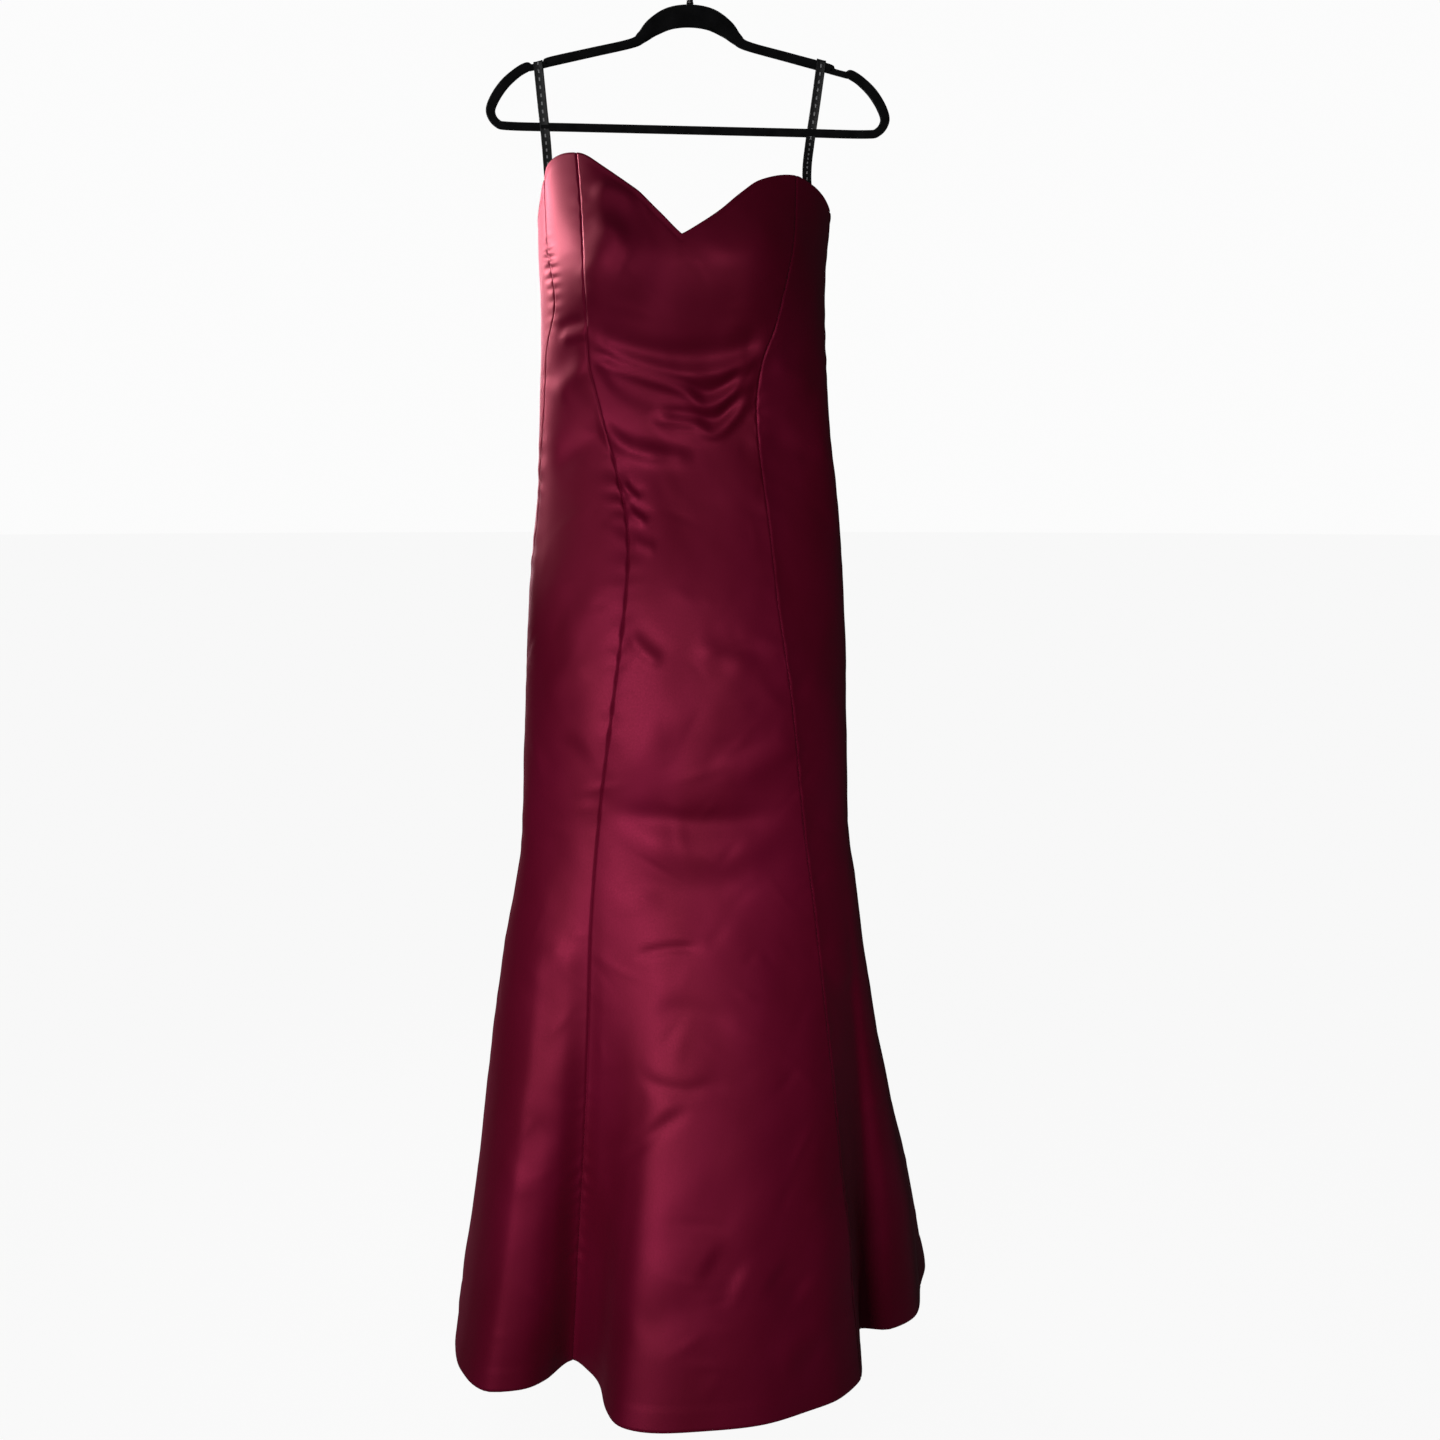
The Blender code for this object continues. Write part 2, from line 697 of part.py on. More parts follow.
def build_hanger_frame():
    spine = hanger_spine()
    count = len(spine)
    rings = []
    half_y = HANGER_THICKNESS / 2.0
    for index, (x, z, height) in enumerate(spine):
        before, after = spine[index - 1], spine[(index + 1) % count]
        direction = Vector((after[0] - before[0], after[1] - before[1])).normalized()
        outward = Vector((-direction.y, direction.x))
        ring = []
        for across, deep in (
            (height, half_y - HANGER_CHAMFER), (height - HANGER_CHAMFER, half_y),
            (HANGER_CHAMFER - height, half_y), (-height, half_y - HANGER_CHAMFER),
            (-height, HANGER_CHAMFER - half_y), (HANGER_CHAMFER - height, -half_y),
            (height - HANGER_CHAMFER, -half_y), (height, HANGER_CHAMFER - half_y),
        ):
            place = Vector((x, z)) + outward * across
            tipped = tip(place.x, place.y)
            ring.append(Vector((tipped[0], deep, tipped[1])))
        rings.append(ring)
    add_sweep("hanger_frame", rings, (BLACK, 0.9, 0.0), closed=True)


def build_hook():
    """Wire hook: a ferrule on the arch, a stem, an easy bend and the round top."""
    radius = HOOK_INNER_RADIUS + WIRE_RADIUS
    centre = Vector((0.0, -HOOK_INNER_RADIUS))
    foot_z = ARCH_Z + HANGER_SPINE[0][2] + CLEARANCE
    path = [(Vector((0.0, foot_z)), FERRULE_RADIUS), (Vector((0.0, foot_z + FERRULE_HEIGHT)), FERRULE_RADIUS)]
    path.append((Vector((0.0, foot_z + FERRULE_HEIGHT + 0.001)), WIRE_RADIUS))
    stem = Vector((0.0, STEM_TOP_Z))
    arc_start = centre + radius * Vector((math.cos(HOOK_START), math.sin(HOOK_START)))
    entry = Vector((math.sin(HOOK_START), -math.cos(HOOK_START)))
    bend = (stem, stem + Vector((0.0, STEM_PULL)), arc_start - entry * STEM_PULL, arc_start)
    steps = 8
    for step in range(steps):
        share = step / steps
        rest = 1.0 - share
        place = (
            bend[0] * rest ** 3 + bend[1] * 3.0 * rest * rest * share
            + bend[2] * 3.0 * rest * share * share + bend[3] * share ** 3
        )
        path.append((place, WIRE_RADIUS))
    for step in range(HOOK_ARC_STEPS + 1):
        angle = HOOK_START + (HOOK_END - HOOK_START) * step / HOOK_ARC_STEPS
        path.append((centre + radius * Vector((math.cos(angle), math.sin(angle))), WIRE_RADIUS))
    rings = []
    for index, (place, thick) in enumerate(path):
        before, after = path[max(index - 1, 0)][0], path[min(index + 1, len(path) - 1)][0]
        direction = (after - before).normalized()
        side = Vector((-direction.y, direction.x))
        ring = []
        for step in range(WIRE_SIDES):
            turn = math.tau * (step + 0.5) / WIRE_SIDES
            offset = side * thick * math.cos(turn)
            ring.append(Vector((place.x + offset.x, thick * math.sin(turn), place.y + offset.y)))
        rings.append(ring)
    add_sweep("hanger_hook", rings, (STEEL, 0.3, 1.0))


def arm_at(x):
    """Height of the arm's middle and its half height where a loop lies on it."""
    upper = [(tip(row[0], row[1]), row[2]) for row in hanger_spine() if row[1] > SHOULDER_Z]
    rows = sorted((place[0], place[1], height) for place, height in upper)
    return straight(rows, x, 1), straight(rows, x, 2)


def build_loop(name, arm_x, neck_x, neck_y, neck_z, end_girth, end_z):
    """Ribbon over the arm and down both faces of the bar, its ends sewn flat inside the bodice."""
    arm_z, arm_half = arm_at(arm_x)
    beside = HANGER_THICKNESS / 2.0 + RIBBON_GAP + RIBBON_THICKNESS / 2.0
    above = arm_half + RIBBON_GAP + RIBBON_THICKNESS
    slant = (neck_x - arm_x) / (neck_z - arm_z)
    point, normal, around, down = surface_frame(end_girth, end_z)
    ribbon_across = around if around.x > 0.0 else -around
    flat = Vector((1.0, 0.0, 0.0))
    half_width = RIBBON_WIDTH / 2.0
    rise = arm_at(arm_x + half_width)[0] - arm_at(arm_x - half_width)[0]
    sloped = Vector((RIBBON_WIDTH, 0.0, rise)).normalized()

    def strand(side, depth):
        sewn = point - normal * (WALL + RIBBON_GAP + RIBBON_THICKNESS / 2.0 + depth)
        neck = Vector((neck_x, neck_y + side * STRAND_HALF_GAP, neck_z))
        rows = [(sewn, ribbon_across), (sewn - down * SEWN_LENGTH, ribbon_across)]
        rows.append((neck, flat.lerp(ribbon_across, NECK_TWIST).normalized()))
        rows.append((Vector((arm_x + slant * (BAR_UNDER_Z - arm_z), side * beside, BAR_UNDER_Z)), flat))
        rows.append((Vector((arm_x + slant * 0.5 * (BAR_UNDER_Z - arm_z), side * beside,
                             (BAR_UNDER_Z + arm_z) / 2.0)), flat))
        rows.append((Vector((arm_x, side * beside, arm_z + arm_half * ARM_SIDE_SHARE)), sloped))
        turn_y, turn_z = side * beside * ARM_TURN_SIDE, arm_z + above * ARM_TURN_RISE
        rows.append((Vector((arm_x, turn_y, turn_z)), sloped))
        return rows

    front = strand(-1.0, 0.0)
    back = strand(1.0, RIBBON_THICKNESS + RIBBON_GAP)
    route = front + [(Vector((arm_x, 0.0, arm_z + above)), sloped)] + back[::-1]
    rings = []
    for index, (place, across) in enumerate(route):
        before, after = route[max(index - 1, 0)][0], route[min(index + 1, len(route) - 1)][0]
        direction = (after - before).normalized()
        across = (across - direction * across.dot(direction)).normalized()
        thick = direction.cross(across).normalized()
        ring = []
        for wide, deep in ((-1, -1), (1, -1), (1, 1), (-1, 1)):
            ring.append(place + across * wide * RIBBON_WIDTH / 2.0 + thick * deep * RIBBON_THICKNESS / 2.0)
        rings.append(ring)
    add_sweep(name, rings, (BLACK, 0.5, 0.0))


def build():
    for existing in list(bpy.data.objects):
        bpy.data.objects.remove(existing, do_unlink=True)
    build_panels()
    build_zip_tape()
    hinge = build_slider()
    build_pull(hinge)
    build_hanger_frame()
    build_hook()
    for loop in LOOPS:
        build_loop(*loop)


build()
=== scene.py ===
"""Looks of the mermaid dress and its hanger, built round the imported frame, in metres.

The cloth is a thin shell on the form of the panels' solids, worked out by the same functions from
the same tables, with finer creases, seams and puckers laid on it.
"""
import math

import bmesh
import bpy
import numpy as np
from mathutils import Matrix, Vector


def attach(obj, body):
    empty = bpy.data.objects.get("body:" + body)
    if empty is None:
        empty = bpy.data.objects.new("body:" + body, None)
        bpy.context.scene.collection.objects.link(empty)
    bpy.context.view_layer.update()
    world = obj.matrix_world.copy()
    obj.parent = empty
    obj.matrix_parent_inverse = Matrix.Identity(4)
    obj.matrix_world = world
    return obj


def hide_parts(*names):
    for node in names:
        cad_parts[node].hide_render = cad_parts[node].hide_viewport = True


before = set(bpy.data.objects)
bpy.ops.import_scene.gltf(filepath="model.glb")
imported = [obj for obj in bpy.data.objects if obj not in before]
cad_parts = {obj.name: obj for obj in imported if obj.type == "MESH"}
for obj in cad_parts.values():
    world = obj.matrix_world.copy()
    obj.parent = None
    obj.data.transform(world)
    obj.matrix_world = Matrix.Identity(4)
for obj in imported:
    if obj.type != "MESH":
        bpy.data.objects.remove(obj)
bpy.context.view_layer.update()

# Form of the dress, as in the solids
CLOTH_X = -0.0045
HEM_Z = -1.661
KNEE_Z = -1.020
FOLD_POWER = 1.6
LEVEL_Z = -0.440
SECTIONS = (
    # z, right, left, front, back, squareness
    (-0.250, 0.161, 0.156, 0.080, 0.083, 2.15),
    (-0.300, 0.164, 0.160, 0.091, 0.086, 2.15),
    (-0.368, 0.164, 0.157, 0.106, 0.090, 2.20),
    (-0.451, 0.164, 0.157, 0.082, 0.079, 2.20),
    (-0.550, 0.167, 0.165, 0.054, 0.057, 2.20),
    (-0.625, 0.171, 0.174, 0.065, 0.068, 2.20),
    (-0.740, 0.181, 0.182, 0.094, 0.094, 2.20),
    (-0.880, 0.188, 0.187, 0.105, 0.112, 2.20),
    (-0.990, 0.192, 0.190, 0.094, 0.109, 2.20),
    (-1.024, 0.194, 0.193, 0.093, 0.109, 2.20),
    (-1.060, 0.200, 0.199, 0.095, 0.114, 2.20),
    (-1.171, 0.220, 0.214, 0.107, 0.133, 2.20),
    (-1.321, 0.240, 0.240, 0.125, 0.165, 2.20),
    (-1.475, 0.260, 0.270, 0.143, 0.200, 2.15),
    (-1.661, 0.288, 0.290, 0.160, 0.245, 2.10),
)
FRONT_SEAMS = (
    # z, right, left
    (-0.250, 0.118, 0.119),
    (-0.310, 0.112, 0.118),
    (-0.362, 0.109, 0.114),
    (-0.412, 0.108, 0.104),
    (-0.443, 0.107, 0.096),
    (-0.474, 0.106, 0.084),
    (-0.516, 0.097, 0.078),
    (-0.559, 0.086, 0.080),
    (-0.603, 0.075, 0.085),
    (-0.647, 0.066, 0.091),
    (-0.690, 0.064, 0.096),
    (-0.745, 0.068, 0.102),
    (-0.856, 0.082, 0.118),
    (-0.970, 0.097, 0.130),
    (-1.096, 0.108, 0.146),
    (-1.231, 0.112, 0.161),
    (-1.356, 0.117, 0.174),
    (-1.482, 0.124, 0.187),
    (-1.661, 0.134, 0.206),
)
BACK_SEAMS = (
    # z, side left, back left, centre back, back right, side right, in degrees
    (-0.250, 80.0, 138.0, 180.0, 222.0, 288.0),
    (-0.343, 81.3, 138.9, 180.5, 222.0, 294.0),
    (-0.415, 82.5, 139.6, 180.8, 222.0, 302.0),
    (-0.467, 83.6, 140.3, 181.1, 221.9, 290.0),
    (-0.530, 86.0, 141.6, 181.5, 221.5, 286.0),
    (-0.600, 89.0, 143.0, 182.0, 221.0, 281.0),
    (-0.800, 95.0, 149.0, 186.0, 223.0, 276.0),
    (-1.030, 96.0, 149.0, 186.0, 223.0, 276.0),
    (-1.661, 98.0, 151.0, 188.0, 225.0, 277.0),
)
V_SHARE = 0.461
TOP_EDGE = (
    # girth, z
    (0.000, -0.2565),
    (0.055, -0.2600),
    (0.109, -0.2680),
    (0.278, -0.2980),
    (0.370, -0.3220),
    (V_SHARE, -0.3480),
    (0.609, -0.3220),
    (0.704, -0.3030),
    (0.791, -0.2890),
    (0.948, -0.2810),
    (1.220, -0.2850),
    (1.500, -0.2920),
    (1.900, -0.3060),
    (2.200, -0.3190),
    (2.600, -0.3310),
    (3.000, -0.3390),
    (4.000, -0.3500),
    (5.000, -0.3420),
    (5.600, -0.3280),
    (5.850, -0.3030),
    (6.000, -0.2780),
    (6.180, -0.2640),
    (6.600, -0.2560),
    (7.000, -0.2565),
)
HEM_FOLDS = (
    # girth, x, y
    (0.000, -0.138, -0.031),
    (0.074, -0.115, -0.058),
    (0.137, -0.102, -0.085),
    (0.246, -0.091, -0.136),
    (0.320, -0.075, -0.167),
    (0.398, -0.040, -0.180),
    (0.516, 0.016, -0.178),
    (0.661, 0.084, -0.165),
    (0.800, 0.143, -0.136),
    (0.893, 0.180, -0.112),
    (1.000, 0.209, -0.070),
    (1.390, 0.217, 0.040),
    (1.530, 0.256, 0.040),
    (1.720, 0.295, 0.074),
    (2.000, 0.312, 0.150),
    (2.250, 0.326, 0.205),
    (2.600, 0.327, 0.280),
    (2.770, 0.303, 0.312),
    (3.000, 0.250, 0.312),
    (3.360, 0.168, 0.286),
    (3.720, 0.072, 0.296),
    (4.000, -0.010, 0.306),
    (4.420, -0.118, 0.284),
    (4.800, -0.200, 0.272),
    (5.000, -0.240, 0.240),
    (5.330, -0.276, 0.196),
    (5.650, -0.298, 0.137),
    (6.000, -0.292, 0.061),
    (6.200, -0.285, 0.002),
    (6.390, -0.270, -0.053),
    (6.620, -0.236, -0.098),
    (6.720, -0.195, -0.095),
    (6.840, -0.168, -0.075),
)
CUP_Z = -0.372
CUP_HEIGHT = 0.060
CUP_WIDTH = 0.052
CUP_RISE = 0.014
CUPS = (-0.092, 0.092)
SWAGS = (
    # start x, start z, middle x, middle z, end x, end z, rise, half width
    (-0.104, -0.455, -0.010, -0.492, 0.080, -0.466, 0.006, 0.013),
    (-0.100, -0.474, 0.020, -0.524, 0.074, -0.498, 0.007, 0.012),
    (-0.040, -0.534, 0.020, -0.552, 0.066, -0.524, 0.005, 0.010),
    (-0.094, -0.541, -0.058, -0.569, -0.018, -0.576, 0.005, 0.010),
)
SWAG_FADE = 0.022
SWAG_SHARE = 0.35
LINE_SAMPLES = 60
SWAG_LINES = (
    # height, half width, then x and z of five places along the fold
    (0.0030, 0.0085, -0.108, -0.455, -0.050, -0.477, 0.004, -0.490, 0.054, -0.483, 0.090, -0.463),
    (0.0036, 0.0070, -0.108, -0.472, -0.062, -0.486, -0.004, -0.505, 0.023, -0.523, 0.080, -0.492),
    (0.0028, 0.0065, -0.044, -0.536, 0.006, -0.541, 0.030, -0.553, 0.052, -0.536, 0.078, -0.506),
    (0.0036, 0.0105, -0.102, -0.536, -0.084, -0.556, -0.063, -0.568, -0.024, -0.576, 0.012, -0.578),
    (-0.0030, 0.0060, -0.030, -0.528, 0.012, -0.533, 0.034, -0.537, 0.054, -0.516, 0.076, -0.484),
    (-0.0026, 0.0060, -0.104, -0.466, -0.056, -0.485, -0.004, -0.498, 0.026, -0.509, 0.070, -0.480),
    (-0.0046, 0.0160, -0.104, -0.460, -0.050, -0.468, 0.000, -0.472, 0.044, -0.468, 0.088, -0.456),
)

# Fine shell: columns of each panel, its width at the hem, and the rows
PANELS = (
    # node, columns, hem width
    ("front_centre", 128, 0.475),
    ("side_front_left", 62, 0.280),
    ("side_back_left", 46, 0.232),
    ("back_left", 54, 0.270),
    ("back_right", 54, 0.245),
    ("side_back_right", 46, 0.195),
    ("side_front_right", 66, 0.304),
)
SEAM_CROWDING = 0.86
ROWS_TO_LEVEL = 66
ROWS_TO_HEM = 300
CLOTH_THICK = 0.0018
SHELL_LIFT = 0.0002
EDGE_ROUND = 0.0005

# Seams: a narrow ditch, with puckers beside it where the photograph shows them
DITCH_DEPTH = 0.0006
DITCH_WIDTH = 0.0014
PILLOW_RISE = 0.00015
PILLOW_WIDTH = 0.009
PUCKERS = (
    # girth of the seam, z, half length along the seam, reach across, height, wave length
    (0.0, -0.330, 0.090, 0.010, 0.0005, 0.021),
    (0.0, -0.632, 0.050, 0.016, 0.0016, 0.024),
    (0.0, -0.800, 0.160, 0.014, 0.0007, 0.031),
    (0.0, -1.440, 0.110, 0.013, 0.0013, 0.022),
    (1.0, -0.520, 0.090, 0.012, 0.0008, 0.023),
    (1.0, -0.900, 0.260, 0.012, 0.0005, 0.033),
    (1.0, -1.420, 0.180, 0.012, 0.0006, 0.027),
    (2.0, -0.420, 0.110, 0.013, 0.0006, 0.026),
    (2.0, -0.950, 0.350, 0.012, 0.0006, 0.034),
    (3.0, -0.560, 0.120, 0.012, 0.0009, 0.025),
    (3.0, -1.200, 0.330, 0.012, 0.0006, 0.036),
    (4.0, -0.560, 0.190, 0.011, 0.0012, 0.018),
    (4.0, -1.150, 0.350, 0.011, 0.0006, 0.035),
    (5.0, -0.560, 0.120, 0.012, 0.0009, 0.026),
    (5.0, -1.200, 0.330, 0.012, 0.0006, 0.032),
    (6.0, -0.385, 0.036, 0.012, 0.0022, 0.0125),
    (6.0, -0.620, 0.110, 0.012, 0.0009, 0.027),
    (6.0, -1.150, 0.360, 0.012, 0.0005, 0.037),
)

# Creases, listed one by one: a place on the front or the back from one end to the other
FRONT, BACK = -1.0, 1.0
CREASES = (
    # side, start x, start z, end x, end z, bow, half width, height, share of a trough beside it
    (FRONT, -0.104, -0.300, -0.052, -0.322, 0.010, 0.0090, 0.0016, 0.2),
    (FRONT, -0.100, -0.340, -0.050, -0.372, 0.006, 0.0120, 0.0012, 0.3),
    (FRONT, -0.072, -0.606, -0.048, -0.626, -0.002, 0.0045, 0.0028, 0.6),
    (FRONT, -0.068, -0.630, -0.040, -0.652, -0.002, 0.0050, 0.0026, 0.6),
    (FRONT, -0.062, -0.668, -0.030, -0.680, -0.001, 0.0060, 0.0014, 0.4),
    (FRONT, -0.066, -0.768, -0.024, -0.806, -0.002, 0.0080, 0.0020, 0.5),
    (FRONT, 0.006, -0.778, 0.078, -0.808, -0.004, 0.0110, 0.0016, 0.5),
    (FRONT, 0.020, -0.812, 0.100, -0.792, 0.004, 0.0130, -0.0014, 0.2),
    (FRONT, -0.040, -0.870, 0.060, -0.908, -0.010, 0.0240, -0.0024, 0.2),
    (FRONT, 0.050, -0.930, 0.126, -0.880, -0.006, 0.0170, 0.0022, 0.4),
    (FRONT, -0.086, -0.990, 0.120, -1.000, -0.022, 0.0200, 0.0026, 0.6),
    (FRONT, -0.110, -0.968, 0.124, -0.976, -0.008, 0.0150, -0.0030, 0.0),
    (FRONT, -0.070, -1.050, 0.080, -1.042, -0.016, 0.0200, -0.0022, 0.2),
    (FRONT, -0.062, -1.136, 0.024, -1.124, 0.006, 0.0060, -0.0016, 0.2),
    (FRONT, -0.046, -1.196, 0.060, -1.214, 0.010, 0.0140, -0.0014, 0.2),
    (FRONT, -0.058, -1.266, 0.034, -1.276, -0.010, 0.0090, -0.0016, 0.3),
    (FRONT, -0.084, -1.378, 0.010, -1.296, 0.004, 0.0080, -0.0018, 0.5),
    (FRONT, 0.020, -1.468, 0.066, -1.496, 0.000, 0.0220, -0.0030, 0.2),
    (FRONT, 0.094, -1.490, 0.140, -1.524, 0.000, 0.0210, -0.0030, 0.2),
    (FRONT, -0.060, -1.560, 0.030, -1.520, 0.010, 0.0240, -0.0020, 0.3),
    (FRONT, 0.100, -1.610, 0.180, -1.560, 0.010, 0.0200, 0.0026, 0.3),
    (FRONT, -0.106, -0.300, -0.040, -0.318, 0.006, 0.0130, 0.0016, 0.4),
    (FRONT, -0.104, -0.330, -0.060, -0.362, 0.004, 0.0110, 0.0014, 0.4),
    (FRONT, 0.020, -0.372, 0.100, -0.336, -0.010, 0.0160, 0.0012, 0.3),
    (FRONT, -0.100, -0.445, -0.140, -0.452, 0.002, 0.0060, 0.0024, 0.7),
    (FRONT, -0.098, -0.476, -0.146, -0.520, 0.006, 0.0110, 0.0022, 0.5),
    (FRONT, -0.086, -0.545, -0.150, -0.600, 0.006, 0.0130, -0.0018, 0.2),
    (FRONT, -0.100, -0.800, -0.166, -0.850, 0.008, 0.0180, 0.0018, 0.4),
    (FRONT, -0.104, -0.900, -0.170, -0.930, 0.010, 0.0200, -0.0018, 0.3),
    (FRONT, -0.120, -1.130, -0.190, -1.180, 0.010, 0.0220, 0.0018, 0.3),
    (FRONT, -0.140, -1.330, -0.210, -1.400, 0.008, 0.0260, -0.0024, 0.3),
    (FRONT, 0.092, -0.470, 0.150, -0.500, -0.006, 0.0110, 0.0022, 0.5),
    (FRONT, 0.086, -0.545, 0.156, -0.580, -0.006, 0.0130, -0.0018, 0.3),
    (FRONT, 0.130, -0.820, 0.176, -0.850, -0.004, 0.0160, 0.0016, 0.4),
    (FRONT, 0.160, -1.120, 0.206, -1.180, -0.004, 0.0200, 0.0020, 0.3),
    (BACK, -0.100, -0.500, 0.060, -0.512, -0.018, 0.0080, 0.0034, 0.8),
    (BACK, -0.050, -0.540, 0.108, -0.536, -0.016, 0.0085, 0.0036, 0.8),
    (BACK, -0.112, -0.566, 0.020, -0.580, -0.014, 0.0080, 0.0030, 0.7),
    (BACK, 0.010, -0.606, 0.120, -0.592, -0.010, 0.0100, 0.0026, 0.5),
    (BACK, -0.090, -0.640, -0.020, -0.622, -0.006, 0.0100, 0.0022, 0.5),
    (BACK, -0.130, -0.440, -0.050, -0.462, -0.006, 0.0120, 0.0016, 0.4),
    (BACK, 0.044, -0.430, 0.130, -0.448, 0.008, 0.0120, 0.0016, 0.4),
    (BACK, -0.120, -0.720, -0.030, -0.760, -0.008, 0.0200, -0.0022, 0.3),
    (BACK, 0.030, -0.780, 0.126, -0.742, -0.008, 0.0190, 0.0020, 0.4),
    (BACK, -0.140, -0.900, -0.020, -0.940, -0.014, 0.0220, 0.0024, 0.4),
    (BACK, 0.010, -0.960, 0.150, -0.930, -0.012, 0.0230, 0.0024, 0.4),
    (BACK, -0.120, -1.010, 0.090, -1.020, -0.020, 0.0200, -0.0022, 0.3),
    (BACK, -0.080, -1.130, 0.010, -1.150, -0.006, 0.0120, -0.0026, 0.5),
    (BACK, 0.050, -1.240, 0.150, -1.200, -0.006, 0.0160, 0.0026, 0.5),
    (BACK, -0.170, -1.330, -0.060, -1.290, 0.010, 0.0180, -0.0028, 0.5),
    (BACK, 0.020, -1.420, 0.120, -1.470, 0.008, 0.0240, -0.0028, 0.3),
    (BACK, -0.100, -1.540, 0.000, -1.500, 0.010, 0.0230, 0.0026, 0.3),
    (BACK, 0.150, -1.540, 0.240, -1.480, 0.010, 0.0240, -0.0026, 0.3),
)
CREASE_FADE = 0.30

# Turn of the cloth at a seam: a hollow where the panels meet at an inner angle, a ridge at an outer one
SEAM_TURNS = (
    # girth of the seam, top z, bottom z, height, reach before the seam, reach after it
    (0.0, -0.520, -1.560, -0.0030, 0.020, 0.022),
    (1.0, -0.500, -1.560, 0.0034, 0.070, 0.012),
    (2.0, -0.480, -1.500, -0.0012, 0.020, 0.020),
    (3.0, -0.560, -1.500, 0.0016, 0.030, 0.030),
    (4.0, -0.700, -1.560, -0.0020, 0.022, 0.022),
    (5.0, -0.560, -1.500, 0.0016, 0.030, 0.030),
    (6.0, -0.480, -1.500, -0.0012, 0.020, 0.020),
)
TURN_FADE = 0.10

# Small crumples of worn satin, scattered evenly round the dress
CRUMPLES = 520
CRUMPLE_SEED = 11
CRUMPLE_LENGTH = (0.016, 0.060)
CRUMPLE_WIDTH = (0.0036, 0.0085)
CRUMPLE_HEIGHT = (0.00022, 0.00082)
CRUMPLE_LEAN = 0.75

# Gentle unevenness of hanging satin: wave length across and down, height
RIPPLES = (
    (0.240, 0.420, 0.0018),
    (0.160, 0.260, 0.0011),
    (0.100, 0.150, 0.0005),
    (0.060, 0.085, 0.00014),
)
RIPPLE_SEED = 7
HEM_TURN = 0.026
HEM_TURN_RISE = 0.0004

# Camera of the photograph
FOCAL_MM = 38.5
SENSOR_MM = 36.0
PITCH = math.radians(8.0)
CAMERA_PLACE = (0.0, -1.7792, -0.6287)
CAMERA_SHIFT_X = 0.0209

# Turned edge of the neck
NECK_ROLL = 0.0006
NECK_ROLL_REACH = 0.0030
NECK_SINK = 0.00025
NECK_SINK_DROP = 0.0075
NECK_SINK_REACH = 0.0016

# Seam allowances pressed open inside
ALLOWANCE_WIDTH = 0.012
ALLOWANCE_GAP = 0.0002
ALLOWANCE_THICK = 0.0006
ALLOWANCE_PLACES = (-1.0, -0.72, -0.45, -0.2, -0.05, 0.05, 0.2, 0.45, 0.72, 1.0)
STRIP_REACH = 40

# Hanger, as in the solids
WALL = 0.002
HANGER_THICKNESS = 0.006
HANGER_TIP = math.radians(1.3)
ARCH_Z = -0.0995
HANGER_SPINE = (
    # x, z, half height
    (0.000, ARCH_Z, 0.0120),
    (0.022, -0.1025, 0.0115),
    (0.040, -0.1120, 0.0095),
    (0.052, -0.1225, 0.0065),
    (0.064, -0.1295, 0.0050),
    (0.110, -0.1405, 0.0050),
    (0.154, -0.1510, 0.0050),
    (0.157, -0.1534, 0.0034),
    (0.174, -0.1574, 0.0034),
    (0.178, -0.1568, 0.0050),
    (0.189, -0.1630, 0.0052),
    (0.203, -0.1755, 0.0055),
    (0.214, -0.1915, 0.0055),
    (0.218, -0.2050, 0.0052),
    (0.211, -0.2165, 0.0046),
    (0.196, -0.2195, 0.0045),
    (0.130, -0.2195, 0.0045),
    (0.065, -0.2195, 0.0045),
    (0.000, -0.2195, 0.0045),
)
SPINE_STEPS = 8
HANGER_SIDES = 24
HANGER_SQUARENESS = 3.2
SHOULDER_Z = -0.170

# Hook
WIRE_RADIUS = 0.002
HOOK_INNER_RADIUS = 0.020
HOOK_START = math.radians(225.0)
HOOK_END = math.radians(-15.0)
STEM_TOP_Z = -0.058
STEM_PULL = 0.014
FERRULE_RADIUS = 0.004
FERRULE_HEIGHT = 0.009
CLEARANCE = 0.0003
WIRE_SIDES = 24
STEM_START = 1.1
STEM_SHARES = (0.10, 0.26, 0.42, 0.58, 0.74, 0.90)
BEND_STEPS = 24
ROUND_STEPS = 73
FERRULE = (
    # share of the height, share of the radius
    (0.00, 0.80), (0.02, 0.97), (0.08, 1.00), (0.16, 0.96), (0.20, 0.88), (0.30, 0.86),
    (0.78, 0.84), (0.84, 0.92), (0.92, 0.93), (0.98, 0.84), (1.00, 0.62), (1.04, 0.50),
)

# Ribbon loops, along the same route as the solids
RIBBON_WIDTH = 0.010
RIBBON_THICKNESS = 0.001
RIBBON_GAP = 0.0004
BAR_UNDER_Z = -0.232
SEWN_LENGTH = 0.016
STRAND_HALF_GAP = 0.0011
NECK_TWIST = 0.2
ARM_SIDE_SHARE = 0.75
ARM_TURN_SIDE = 0.66
ARM_TURN_RISE = 0.97
LOOPS = (
    # name, x on the arm, x and y and z at the neck, girth and z of the sewn end
    ("hanger_loop_right", -0.1670, -0.1550, -0.022, -0.276, 6.10, -0.320),
    ("hanger_loop_left", 0.1445, 0.1270, -0.040, -0.274, 1.30, -0.322),
)
RIBBON_LOOK_THICKNESS = 0.0007
RIBBON_STEPS = 9
RIBBON_SELVEDGE = 0.0009
SELVEDGE_ROUND = 0.0002
SELVEDGE_STEP = 0.0004
DASH_HALF_WIDTH = 0.0007
DASH_PITCH = 0.0085
DASH_SHARE = 0.42

